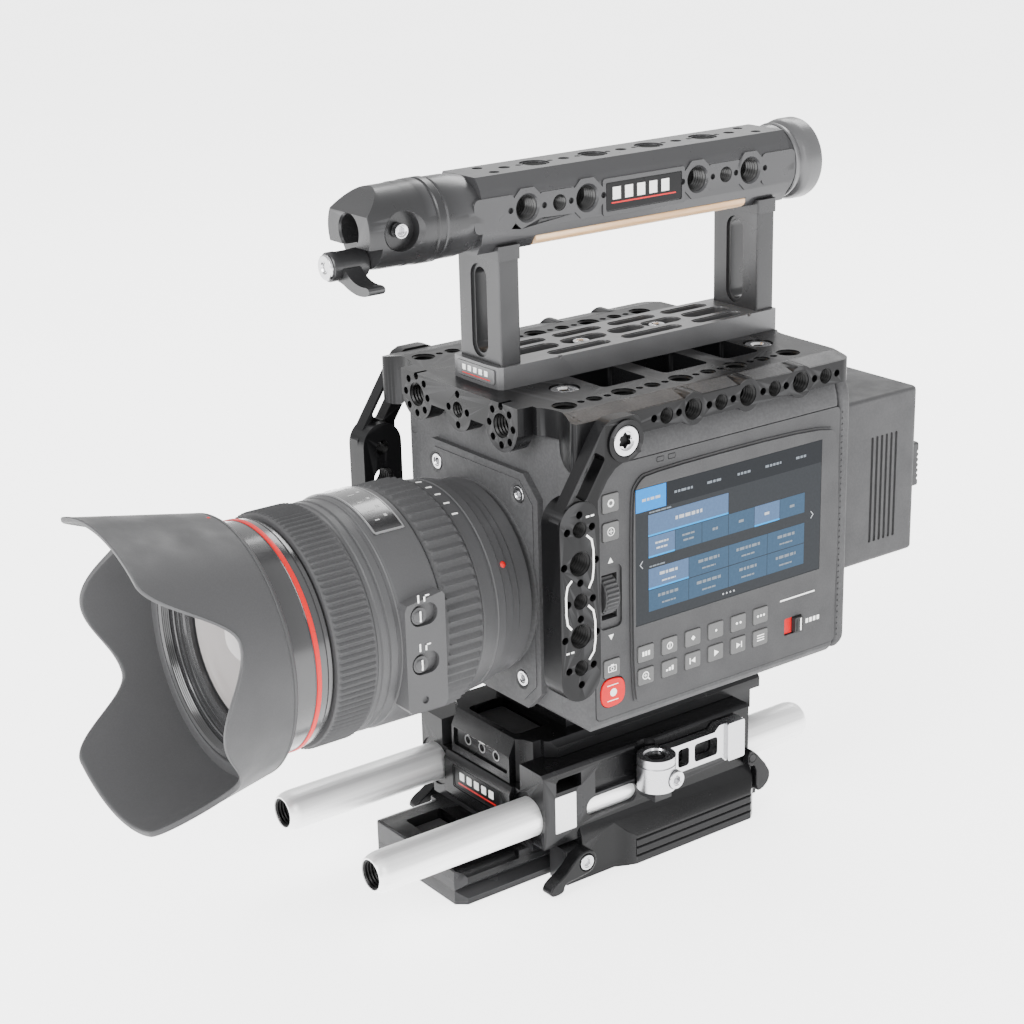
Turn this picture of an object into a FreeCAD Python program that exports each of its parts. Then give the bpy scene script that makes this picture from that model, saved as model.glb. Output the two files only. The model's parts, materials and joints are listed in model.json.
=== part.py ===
import FreeCAD, Part
import math
import os
import Sketcher

from FreeCAD import Placement, Rotation, Vector

# Cinema camera rig: a box-shaped cinema camera with a zoom lens and petal hood, held in a cage
# with a top handle, standing on a rod baseplate.
# Frame: millimetres, +Z up, the lens looks along -Y, +X is the side with the touch screen.
# Origin: the tripod thread in the underside of the baseplate.

DRIVING_SIZES = {
    # baseplate
    "dovetail_half_width": 28.6, "dovetail_front": -77.0, "dovetail_rear": 68.0, "dovetail_top": 14.0,
    "notch_low": 2.5, "notch_high": 8.5, "notch_depth": 3.2,
    "tripod_radius": 3.97, "stud_radius": 2.55, "thread_depth": 10.0,
    "bridge_half_width": 39.0, "bridge_front": -46.0, "bridge_rear": 54.0,
    "bridge_shoulder": 17.0, "bridge_top": 46.7, "channel_half_width": 25.0, "channel_floor": 36.0,
    "nose_front": -48.2, "nose_half_width": 21.0,
    "rail_inner": 30.0, "rail_outer": 44.0, "rail_front": -29.8, "rail_rear": 54.4,
    "rail_step": 40.5, "rail_edge_top": 11.7, "rail_top": 21.5,
    # rods and their levers
    "rod_x": 30.0, "rod_z": 27.4, "rod_radius": 7.5, "rod_bore": 5.6, "rod_fit": 0.06,
    "rod_front": -115.0, "rod_length": 203.0,
    "rod_lever_x": 40.8, "rod_lever_width": 5.6, "rod_lever_y": -32.0, "rod_lever_z": 10.6,
    # quick-release lock
    "lock_x": 45.6, "lock_y": 1.8, "lock_low": 30.6, "lock_high": 43.8, "lock_radius": 7.3,
    "lock_pin": 3.2, "lock_tip": 46.6, "lock_arm_inner": 39.5,
    # quick-release plate
    "slide_half_width": 24.7, "slide_floor": 36.2, "slide_rear": 68.0, "slide_nose": -46.0,
    "wing_half_width": 30.0, "wing_low": 47.0, "wing_top": 53.4, "riser_half_width": 22.0,
    # camera
    "camera_half_width": 54.0, "camera_front": -41.0, "camera_rear": 90.0,
    "camera_low": 65.4, "camera_top": 175.0, "camera_wall": 3.0, "back_depth": 6.0,
    "lens_z": 113.5, "mount_half_width": 36.0, "mount_front": -43.5, "mount_face": -47.0,
    "mount_bore": 26.5, "mount_radius": 33.5,
    "panel_inner": 51.6, "panel_face": 54.2, "bezel_face": 55.6,
    "panel_front": -33.0, "panel_rear": 84.5, "panel_low": 70.0, "panel_high": 164.0,
    "bezel_front": -17.0, "bezel_rear": 83.0, "bezel_low": 72.0, "bezel_high": 158.5,
    "screen_front": -15.8, "screen_rear": 73.7, "screen_low": 102.4, "screen_high": 153.4,
    "key_depth": 7.2, "key_height": 6.2, "key_pitch": 11.06, "key_row": 8.8, "first_key": -11.6,
    "lower_key_z": 82.6, "key_proud": 0.5, "key_gap": 0.2,
    # lens
    "hood_rear": -147.3, "hood_radius": 45.4, "hood_wall": 1.6, "hood_flare": 0.19,
    "hood_base": -131.9, "hood_turn": -9.0,
    "front_barrel_radius": 40.6, "front_barrel_front": -153.5, "front_barrel_rear": -131.0,
    "barrel_radius": 41.2, "ring_radius": 42.0, "ring_gap": 0.3, "core_radius": 36.0,
    "core_bore": 33.0, "focus_front": -130.4, "focus_rear": -114.2,
    "zoom_front": -87.0, "zoom_rear": -70.6,
    # cage
    "cage_half_width": 59.0, "cage_top": 184.9, "cage_edge_top": 183.3, "cage_flat": 49.0,
    "cage_rear": 80.2, "cage_front": -50.7, "cage_hole_pitch": 26.0, "left_row_shift": 1.5,
    "big_thread": 4.4, "small_thread": 2.9, "pin_hole": 1.35, "arm_outer": 65.0, "arm_inner": 55.0,
    # handle
    "handle_z": 246.4, "handle_radius": 13.6, "handle_base_top": 193.0, "handle_half_width": 14.5,
    "handle_base_front": -42.4, "handle_base_rear": 89.2, "post_half_width": 12.5,
    "front_post": -40.0, "rear_post": 80.0, "post_depth": 8.6,
    # battery
    "battery_half_width": 45.0, "battery_rear": 136.0, "battery_low": 93.0, "battery_high": 160.0,
}

doc = FreeCAD.newDocument("cinema_camera_rig")
sheet = doc.addObject("Spreadsheet::Sheet", "Sizes")
for row, (alias, number) in enumerate(DRIVING_SIZES.items(), start=1):
    sheet.set(f"A{row}", alias)
    sheet.set(f"B{row}", str(number))
    sheet.setAlias(f"B{row}", alias)
doc.recompute()


class Size:
    """A length and the sheet expression that it comes from."""

    def __init__(self, value, text):
        self.value = value
        self.text = text

    def _join(self, other, sign, value, flip=False):
        other = as_size(other)
        first, second = (other, self) if flip else (self, other)
        return Size(value, f"({first.text} {sign} {second.text})")

    def __add__(self, other):
        return self._join(other, "+", self.value + as_size(other).value)

    def __radd__(self, other):
        return self._join(other, "+", self.value + as_size(other).value, flip=True)

    def __sub__(self, other):
        return self._join(other, "-", self.value - as_size(other).value)

    def __rsub__(self, other):
        return self._join(other, "-", as_size(other).value - self.value, flip=True)

    def __mul__(self, other):
        return self._join(other, "*", self.value * as_size(other).value)

    def __rmul__(self, other):
        return self._join(other, "*", self.value * as_size(other).value, flip=True)

    def __truediv__(self, other):
        return self._join(other, "/", self.value / as_size(other).value)

    def __neg__(self):
        return Size(-self.value, f"(0 - {self.text})")


def as_size(number):
    return number if isinstance(number, Size) else Size(float(number), f"({float(number):.6g})")


class Sizes:
    """The driving sizes by name."""

    def __init__(self):
        for alias, number in DRIVING_SIZES.items():
            setattr(self, alias, Size(number, f"Sizes.{alias}"))


d = Sizes()
made = []


def unique(name):
    made.append(name)
    return f"{name}_{len(made)}"


def bind(thing, prop, size):
    thing.setExpression(prop, as_size(size).text)


def place(thing, x, y, z, rotation=None):
    thing.Placement = Placement(Vector(0, 0, 0), rotation or Rotation())
    bind(thing, "Placement.Base.x", x)
    bind(thing, "Placement.Base.y", y)
    bind(thing, "Placement.Base.z", z)


# ---- primitives and booleans ----

def box(x, y, z, name="block"):
    """A block between two values of each axis, given in either order."""
    block = doc.addObject("Part::Box", unique(name))
    spans = [sorted(map(as_size, pair), key=lambda size: size.value) for pair in (x, y, z)]
    for prop, (low, high) in zip(("Length", "Width", "Height"), spans):
        bind(block, prop, high - low)
    place(block, *[low for low, high in spans])
    return block


TURN_TO = {"x": Rotation(Vector(0, 1, 0), 90), "y": Rotation(Vector(1, 0, 0), -90), "z": Rotation()}


def rod(axis, radius, low, high, at, name="round"):
    """A cylinder along an axis from low to high; at holds its other two coordinates."""
    shape = doc.addObject("Part::Cylinder", unique(name))
    bind(shape, "Radius", radius)
    bind(shape, "Height", as_size(high) - low)
    spot = list(at)
    spot.insert("xyz".index(axis), low)
    place(shape, *spot, rotation=TURN_TO[axis])
    return shape


def join(shapes, name="union"):
    result = doc.addObject("Part::MultiFuse", unique(name))
    result.Shapes = shapes
    result.Refine = True
    return result


def gather(shapes, name="group"):
    result = doc.addObject("Part::Compound", unique(name))
    result.Links = shapes
    return result


def cut(base, tools, name="cut"):
    result = doc.addObject("Part::Cut", unique(name))
    result.Base = base
    result.Tool = tools[0] if len(tools) == 1 else gather(tools)
    return result


def overlap(first, second, name="common"):
    result = doc.addObject("Part::Common", unique(name))
    result.Base = first
    result.Tool = second
    return result


def mirrored(shape, name="mirror"):
    """The same piece on the other side of the middle plane X = 0."""
    result = doc.addObject("Part::Mirroring", unique(name))
    result.Source = shape
    result.Base = Vector(0, 0, 0)
    result.Normal = Vector(1, 0, 0)
    return result


def soften(base, radius, picks, kind="Part::Chamfer", name="edge"):
    """Chamfers or fillets the edges that picks(edge) chooses."""
    doc.recompute()
    chosen = [i for i, edge in enumerate(base.Shape.Edges, start=1) if picks(edge)]
    result = doc.addObject(kind, unique(name))
    result.Base = base
    result.Edges = [(i, radius, radius) for i in chosen]
    doc.recompute()
    if not chosen or not result.isValid() or result.Shape.isNull() or not result.Shape.isValid():
        doc.removeObject(result.Name)
        print("edges left sharp on", base.Name, len(chosen))
        return base
    return result


def runs_along(edge, axis, at_least=0.0):
    """True for a straight edge along an axis and longer than at_least."""
    if not isinstance(edge.Curve, (Part.Line, Part.LineSegment)) or edge.Length < at_least:
        return False
    direction = edge.tangentAt(edge.FirstParameter)
    return abs(abs(direction["xyz".index(axis)]) - 1) < 1e-6


# ---- sketched bodies ----

def new_body(name):
    return doc.addObject("PartDesign::Body", unique(name))


def sketch_on(body, plane, offset, name="outline"):
    """A sketch on an origin plane of its body, moved along the plane's normal."""
    sketch = body.newObject("Sketcher::SketchObject", unique(name))
    role = {"xy": "XY_Plane", "xz": "XZ_Plane", "yz": "YZ_Plane"}[plane]
    origin_plane = [f for f in body.Origin.OriginFeatures if f.Role == role][0]
    sketch.AttachmentSupport = [(origin_plane, "")]
    sketch.MapMode = "FlatFace"
    bind(sketch, "AttachmentOffset.Base.z", offset)
    return sketch


def draw_outline(sketch, points):
    """A closed outline of straight lines through points bound to the sheet."""
    points = [(as_size(u), as_size(v)) for u, v in points]
    first = len(sketch.Geometry)
    corners = [Vector(u.value, v.value, 0) for u, v in points]
    ends = corners[1:] + corners[:1]
    lines = [Part.LineSegment(a, b) for a, b in zip(corners, ends)]
    sketch.addGeometry(lines, False)
    fix_points(sketch, points, first)


def fix_points(sketch, points, first):
    count = len(points)
    for i in range(count):
        following = first + (i + 1) % count
        sketch.addConstraint(Sketcher.Constraint("Coincident", first + i, 2, following, 1))
    for i, (u, v) in enumerate(points):
        for kind, size in (("DistanceX", u), ("DistanceY", v)):
            row = sketch.addConstraint(Sketcher.Constraint(kind, -1, 1, first + i, 1, size.value))
            sketch.setExpression(f"Constraints[{row}]", size.text)


def prism(plane, points, low, high, name):
    """A body padded from an outline; low and high are along the plane's axis (Y, X or Z)."""
    low, high = as_size(low), as_size(high)
    body = new_body(name)
    # The normal of the XZ plane points along -Y, so its pad starts at the high end.
    start = -high if plane == "xz" else low
    sketch = sketch_on(body, plane, start)
    draw_outline(sketch, points)
    pad = body.newObject("PartDesign::Pad", unique("pad"))
    pad.Profile = sketch
    bind(pad, "Length", high - low)
    return body


def turned(points, name, centre_x=0, centre_z=0):
    """A body of revolution about an axis along Y; points are (y, radius)."""
    body = new_body(name)
    sketch = sketch_on(body, "yz", centre_x)
    bind(sketch, "AttachmentOffset.Base.y", centre_z)
    draw_outline(sketch, points)
    spin = body.newObject("PartDesign::Revolution", unique("turn"))
    spin.Profile = sketch
    spin.ReferenceAxis = (sketch, ["H_Axis"])
    spin.Angle = 360
    return body


nodes = {}


def keep(label, shape):
    shape.Label = label
    nodes[label] = shape
    return shape


def screw_along_x(radius, x_low, x_high, y, z, socket=1.6):
    """A flat round screw head with a hexagon socket, its outer face towards +X."""
    head = rod("x", radius, x_low, x_high, (y, z), "screw")
    key = prism("yz", ring_points(6, socket, y, z), as_size(x_high) - 1.4, as_size(x_high) + 1, "socket")
    return cut(head, [key])


def screw_along_z(radius, z_low, z_high, x, y, socket=1.6):
    head = rod("z", radius, z_low, z_high, (x, y), "screw")
    key = prism("xy", ring_points(6, socket, x, y), as_size(z_high) - 1.4, as_size(z_high) + 1, "socket")
    return cut(head, [key])


def ring_points(count, radius, u, v, phase=0.0):
    """Corners of a regular polygon about (u, v)."""
    angles = [phase + 2 * math.pi * i / count for i in range(count)]
    return [(as_size(u) + radius * math.cos(a), as_size(v) + radius * math.sin(a)) for a in angles]


def obround(low, high, half_width, level, z_low, z_high):
    """A slot along Y: two round ends joined by a block."""
    middle = box((as_size(level) - half_width, as_size(level) + half_width), (low, high), (z_low, z_high))
    ends = [rod("z", half_width, z_low, z_high, (level, y)) for y in (low, high)]
    return join([middle] + ends)


# ---- baseplate ----

def make_dovetail_plate():
    w, low, high = d.dovetail_half_width, d.notch_low, d.notch_high
    root = w - d.notch_depth
    mid = (low + high) / 2
    section = [(-w, 0), (w, 0), (w, low), (root, mid), (w, high), (w, d.dovetail_top),
               (-w, d.dovetail_top), (-w, high), (-root, mid), (-w, low)]
    plate = prism("xz", section, d.dovetail_front, d.dovetail_rear, "dovetail")
    tools = [rod("z", d.tripod_radius, -1, d.thread_depth, (0, 0))]
    tools += [rod("z", d.stud_radius, -1, d.thread_depth, (0, y)) for y in (-25, 25)]
    tools += [box((-18, 18), (d.dovetail_front + 8, d.dovetail_front + 24), (d.dovetail_top - 4, 20))]
    corner = 4.0
    for side in (-1, 1):
        edge = side * w
        points = [(edge - side * corner, d.dovetail_front - 1), (edge + side, d.dovetail_front - 1),
                  (edge + side, d.dovetail_front + corner + 1)]
        tools.append(prism("xy", points, -1, 20, "corner"))
    keep("dovetail_plate", cut(plate, tools))


def rod_bores():
    reach = 2
    return [rod("y", d.rod_radius + d.rod_fit, d.nose_front - reach, d.bridge_rear + reach,
                (side * d.rod_x, d.rod_z)) for side in (-1, 1)]


CLAMP_PAD_Y = (-40.6, -30.9)
CLAMP_PAD_Z = (21.7, 36.5)


def make_bridge_plate():
    w, c, shoulder = d.bridge_half_width, d.channel_half_width, d.bridge_shoulder
    foot = 32
    top_bevel = 1.2
    section = [(-foot, d.dovetail_top), (foot, d.dovetail_top), (foot, shoulder), (w, shoulder),
               (w, d.bridge_top - top_bevel), (w - top_bevel, d.bridge_top), (c, d.bridge_top),
               (c, d.channel_floor), (-c, d.channel_floor), (-c, d.bridge_top),
               (top_bevel - w, d.bridge_top), (-w, d.bridge_top - top_bevel), (-w, shoulder),
               (-foot, shoulder)]
    block = prism("xz", section, d.bridge_front, d.bridge_rear, "bridge")
    nose_side = [(d.nose_front, 19), (d.nose_front, d.channel_floor - 3), (d.nose_front + 1.5, d.channel_floor),
                 (d.bridge_front + 1, d.channel_floor), (d.bridge_front + 1, 16), (d.nose_front + 2, 16)]
    nose = prism("yz", nose_side, -d.nose_half_width, d.nose_half_width, "nose")
    pin = rod("x", 1.6, w - 1, d.lock_arm_inner + 3.6, (52.8, 25.3))
    pivot_post = rod("z", d.lock_pin, 27, d.lock_high - 1.2, (d.lock_x, d.lock_y))
    pivot_shelf = box((w - 1, d.lock_x + 4), (d.lock_y - 4, d.lock_y + 4), (26.6, d.lock_low - 0.4))
    tools = rod_bores()
    tools.append(box((w - 2, w + 1), (-22, d.lock_y - 4), (32.6, 45)))
    tools.append(rod("z", d.lock_radius + 1.0, d.lock_low - 0.3, d.bridge_top + 1, (d.lock_x, d.lock_y)))
    for side in (-1, 1):
        face = side * w
        tools.append(box((face - 2.6 * side, face + side), (-22, -6), (23.4, 31.4)))
        tools += [rod("x", 4, *sorted((39 * side, 36.4 * side)), (y, 27.4)) for y in (-22, -6)]
        tools.append(box((face - 9 * side, face + side), (-40, -28.5), (38.2, 43.4)))
        tools.append(box((face - 1, face + 1), CLAMP_PAD_Y, CLAMP_PAD_Z))
    tools.append(box((-15.4, 15.4), (d.nose_front - 1, d.nose_front + 0.8), (22.8, 32.4)))
    body = cut(join([block, nose]), tools)
    post = join([pivot_post, pivot_shelf])
    whole = join([body, post, pin])
    keep("bridge_plate", whole)


def make_side_rails():
    section = [(d.rail_inner, 0), (d.rail_outer, 0), (d.rail_outer, d.rail_edge_top),
               (d.bridge_half_width, d.rail_top), (d.bridge_half_width, d.bridge_shoulder),
               (32, d.bridge_shoulder), (32, d.dovetail_top), (d.rail_inner, d.dovetail_top)]
    rail = prism("xz", section, d.rail_front, d.rail_rear, "rail")
    relief = [(d.rail_step, d.rail_front - 1), (d.rail_outer + 1, d.rail_front - 1),
              (d.rail_outer + 1, -6.5), (d.rail_outer, -6.5), (d.rail_outer - 1.5, -10.5),
              (d.rail_step, -14.5)]
    tools = [prism("xy", relief, -1, 25, "relief")]
    groove = 0.8
    for level in (3.0, 6.4, 9.8):
        tools.append(box((d.rail_outer - groove, d.rail_outer + 1), (-6.4, 60), (level, level + groove)))
    block = box((d.rail_inner, d.rail_step), (d.rod_lever_y - 5, d.rail_front + 1), (0, d.dovetail_top))
    bore = rod("x", 2.0, d.rail_inner, d.rod_lever_x, (d.rod_lever_y, d.rod_lever_z))
    rail = cut(join([rail, block]), tools + [bore])
    keep("side_rail_right", rail)
    keep("side_rail_left", mirrored(rail))


def make_rods():
    bevel = 1.0
    front, rear = d.rod_front, d.rod_front + d.rod_length
    profile = [(front, d.rod_bore), (front, d.rod_radius - bevel), (front + bevel, d.rod_radius),
               (rear - bevel, d.rod_radius), (rear, d.rod_radius - bevel), (rear, d.rod_bore)]
    for label, side in (("rod_right", 1), ("rod_left", -1)):
        keep(label, turned(profile, "rod", side * d.rod_x, d.rod_z))


def make_rod_levers():
    y, z, x = d.rod_lever_y, d.rod_lever_z, d.rod_lever_x
    side_view = [(y - 16.5, z - 5.2), (y - 17.2, z - 9.2), (y - 10.6, z - 9.2), (y - 10.4, z - 5.0),
                 (y - 2, z - 4.8), (y + 2.6, z - 3.8), (y + 4.6, z), (y + 3.4, z + 3.6), (y, z + 5),
                 (y - 4.5, z + 3.4), (y - 10, z - 1.6)]
    lever = prism("yz", side_view, x, x + d.rod_lever_width, "rod_lever")
    lever = cut(lever, [rod("x", 2.1, x - 1, x + 10, (y, z)),
                        rod("x", 3.2, x + d.rod_lever_width - 1.4, x + 10, (y, z))])
    keep("rod_lever_right", lever)
    keep("rod_lever_left", mirrored(lever))
    shank = rod("x", 2.0, d.rail_inner + 2, x + 5, (y, z))
    head = screw_along_x(3.0, x + d.rod_lever_width - 1.3, x + d.rod_lever_width + 0.5, y, z)
    screw = join([shank, head])
    w = d.bridge_half_width
    pad = box((w - 1, w + 0.1), CLAMP_PAD_Y, CLAMP_PAD_Z)
    keep("rod_clamp_fittings", gather([screw, mirrored(screw), pad, mirrored(pad)]))


def make_front_plate():
    plate = box((-15.2, 15.2), (d.nose_front, d.nose_front + 0.8), (23, 32.2))
    keep("front_blank_plate", plate)


def make_lock_lever():
    x, y = d.lock_x, d.lock_y
    hub = rod("z", d.lock_radius, d.lock_low, d.lock_high, (x, y))
    arm_inner, arm_outer = d.lock_arm_inner, d.lock_arm_inner + 4.2
    arm_side = [(y, d.lock_low + 0.6), (y + 34, d.lock_low + 0.6), (y + 36, d.lock_low - 1.4),
                (d.lock_tip, d.lock_low - 1.4), (d.lock_tip, d.lock_high + 1),
                (y + 32, d.lock_high + 1), (y + 30, d.lock_high - 1), (y, d.lock_high - 0.6)]
    arm = prism("yz", arm_side, arm_inner, arm_outer, "lock_arm")
    pad = box((arm_inner, arm_outer + 1.3), (d.lock_tip - 8.5, d.lock_tip), (d.lock_low - 1.4, d.lock_high + 1))
    body = join([hub, arm, pad])
    tools = [rod("z", d.lock_pin + 0.06, d.lock_low - 1, d.lock_high + 1, (x, y)),
             rod("z", d.lock_pin + 1.4, d.lock_high - 0.8, d.lock_high + 1, (x, y))]
    for low, high in ((y + 12.5, y + 17.5), (y + 20.5, y + 32.0)):
        window = [(low, d.lock_low + 3), (high, d.lock_low + 3), (high, d.lock_high - 3), (low, d.lock_high - 3)]
        tools.append(prism("yz", window, arm_inner - 1, arm_outer + 2, "window"))
    tools.append(rod("x", 3.7, x + d.lock_radius - 2, x + 12, (y + 3.4, d.lock_low + 4.4)))
    keep("lock_lever", cut(body, tools))
    keep("lock_lever_screw", screw_along_x(3.5, x + d.lock_radius - 3.2, x + d.lock_radius + 0.8,
                                           y + 3.4, d.lock_low + 4.4))


def make_release_tab():
    x = d.lock_arm_inner
    side_view = [(50.6, 21.9), (50.6, 28), (53, 29), (61.8, 18.4), (62.0, 13.5), (58.2, 10.2),
                 (54.9, 10.4), (54.9, 21.9)]
    tab = prism("yz", side_view, x, x + 3.6, "release_tab")
    keep("release_tab", cut(tab, [rod("x", 1.68, x - 1, x + 5, (52.8, 25.3))]))


# ---- quick-release plate ----

def make_camera_plate():
    w = d.slide_half_width
    side_view = [(d.slide_nose, d.slide_floor), (d.slide_nose, d.wing_low), (d.slide_nose + 3, d.wing_top),
                 (d.slide_rear, d.wing_top), (d.slide_rear, d.slide_floor)]
    core = prism("yz", side_view, -w, w, "slide")
    wings = box((-d.wing_half_width, d.wing_half_width), (-36, d.slide_rear), (d.wing_low, d.wing_top))
    tools = []
    nose_width = 18.4
    for side in (-1, 1):
        points = [(side * nose_width, d.slide_nose - 1), (side * (w + 1), d.slide_nose - 1),
                  (side * (w + 1), -39.5), (side * w, -39.5), (side * (nose_width + 2), -41),
                  (side * nose_width, -43)]
        tools.append(prism("xy", points, d.slide_floor - 1, d.wing_top + 1, "shoulder"))
    tools.append(box((-15.5, 15.5), (-40.5, -24), (d.wing_top - 4, d.wing_top + 1)))
    tools.append(box((-17, 17), (d.slide_nose - 1, d.slide_nose + 1), (39.5, d.wing_low - 0.4)))
    tools += [rod("y", 1.6, d.slide_nose, d.slide_nose + 7, (x, 43.6)) for x in (-9, 0, 9)]
    riser_half = d.riser_half_width
    riser = box((-riser_half, riser_half), (-22, 62), (d.wing_low, d.camera_low))
    keep("camera_plate", cut(join([core, wings, riser]), tools))


# ---- camera ----

def make_camera_body():
    w, low, top, wall = d.camera_half_width, d.camera_low, d.camera_top, d.camera_wall
    bevel, crown = 3.0, 9.5
    section = [(-w + bevel, low), (w - bevel, low), (w, low + bevel), (w, top - crown), (w - 4, top),
               (4 - w, top), (-w, top - crown), (-w, low + bevel)]
    shell_end = d.camera_rear - d.back_depth
    block = prism("xz", section, d.camera_front, shell_end, "camera")
    block = soften(block, 2.0, lambda e: abs(e.BoundBox.YMax - DRIVING_SIZES["camera_front"]) < 0.01)
    inside = box((-w + wall, d.panel_inner - wall), (d.camera_front + 5, shell_end + 1), (low + wall, top - crown))
    throat = rod("y", d.mount_bore, d.camera_front - 1, d.camera_front + 8, (0, d.lens_z))
    recess = box((d.panel_inner, w + 2), (d.panel_front, shell_end + 1), (d.panel_low, d.panel_high))
    wheel_slot = box((w - 12, w), (STRIP_Y - 3.4, STRIP_Y + 3.4), (WHEEL_Z - 8.6, WHEEL_Z + 8.6))
    corners = []
    for side in (-1, 1):
        points = [(side * (w - 8.5), d.camera_front - 1), (side * (w + 1), d.camera_front - 1),
                  (side * (w + 1), d.camera_front + 6), (side * w, d.camera_front + 5.5),
                  (side * (w - 8.5), d.camera_front)]
        corners.append(prism("xy", points, low - 1, top + 1, "corner"))
    keep("camera_body", cut(block, [inside, throat, recess, wheel_slot] + corners))
    back = prism("xz", section, shell_end, d.camera_rear, "back")
    back = soften(back, 1.6, lambda e: abs(e.BoundBox.YMin - DRIVING_SIZES["camera_rear"]) < 0.01)
    keep("camera_back_cover", back)


def bezel_outline(front, rear, low, high, cut_back):
    return [(front, low + cut_back), (front + cut_back, low), (rear - cut_back, low),
            (rear, low + cut_back), (rear, high - cut_back), (rear - cut_back, high),
            (front + cut_back, high), (front + cut_back * 0.3, high - cut_back * 0.3), (front, high - cut_back)]


KEY_COLUMNS = 6
STRIP_Y = -26.0
WHEEL_RADIUS = 8.2
WHEEL_SET_BACK = 6.2
WHEEL_Z = 116.0


def key_centre(column):
    return d.first_key + column * d.key_pitch


def key_spots():
    """Y and Z of the two keys in each column."""
    return [[(key_centre(c), d.lower_key_z + r * d.key_row) for r in (0, 1)] for c in range(KEY_COLUMNS)]


def make_side_panel():
    panel = prism("yz", bezel_outline(d.panel_front, d.panel_rear - 0.5, d.panel_low, d.panel_high, 2),
                  d.panel_inner, d.panel_face, "panel")
    bezel = prism("yz", bezel_outline(d.bezel_front, d.bezel_rear, d.bezel_low, d.bezel_high, 8),
                  d.panel_face - 0.5, d.bezel_face, "bezel")
    tools = [box((d.bezel_face - 0.9, d.bezel_face + 1), (d.screen_front, d.screen_rear),
                 (d.screen_low, d.screen_high))]
    gap = d.key_gap
    for column in key_spots():
        for y, z in column:
            half_y, half_z = d.key_depth / 2 + gap, d.key_height / 2 + gap
            tools.append(box((d.bezel_face - 3, d.bezel_face + 1), (y - half_y, y + half_y),
                             (z - half_z, z + half_z)))
    for z in (89.2, 140.4, 150.8):
        tools.append(box((d.panel_face - 2, d.panel_face + 1), (STRIP_Y - 3.8, STRIP_Y + 3.8),
                         (z - 3.6, z + 3.6)))
    tools.append(prism("yz", record_outline(0.25), d.panel_face - 2, d.panel_face + 1, "record_hole"))
    tools.append(box((d.panel_inner - 1, d.panel_face + 1), (STRIP_Y - 3.4, STRIP_Y + 3.4),
                     (WHEEL_Z - 8.4, WHEEL_Z + 8.4)))
    tools.append(box((d.bezel_face - 1.6, d.bezel_face + 1), (56.2, 65.0), (79.6, 86.4)))
    keep("camera_side_panel", cut(join([panel, bezel]), tools))
    keep("screen", box((d.bezel_face - 0.9, d.bezel_face + 0.15), (d.screen_front + 0.1, d.screen_rear - 0.1),
                       (d.screen_low + 0.1, d.screen_high - 0.1)))


def record_outline(grow):
    y_low, y_high, z_low, z_high = -31.0 - grow, -20.2 + grow, 74.4 - grow, 85.2 + grow
    nip = 2.2
    return [(y_low, z_low), (y_high - nip, z_low), (y_high, z_low + nip), (y_high, z_high - nip),
            (y_high - nip, z_high), (y_low, z_high)]


def make_controls():
    for number, column in enumerate(key_spots(), start=1):
        caps = []
        for y, z in column:
            half_y, half_z = d.key_depth / 2, d.key_height / 2
            caps.append(box((d.bezel_face - 1.6, d.bezel_face + d.key_proud), (y - half_y, y + half_y),
                            (z - half_z, z + half_z), "key"))
        keep(f"keys_column_{number}", gather(caps))
    face = d.panel_face
    for label, z in (("photo_button", 89.2), ("focus_button", 140.4), ("iris_button", 150.8)):
        keep(label, box((face - 1.1, face + d.key_proud), (STRIP_Y - 3.6, STRIP_Y + 3.6), (z - 3.4, z + 3.4)))
    keep("record_button", prism("yz", record_outline(0), face - 1.1, face + d.key_proud, "record"))
    keep("jog_wheel", rod("y", WHEEL_RADIUS, STRIP_Y - 3.1, STRIP_Y + 3.1, (face - WHEEL_SET_BACK, WHEEL_Z)))
    slider = box((d.bezel_face - 1.5, d.bezel_face + 1.3), (60.6, 64.8), (79.9, 86.1))
    keep("lock_slider", slider)


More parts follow.
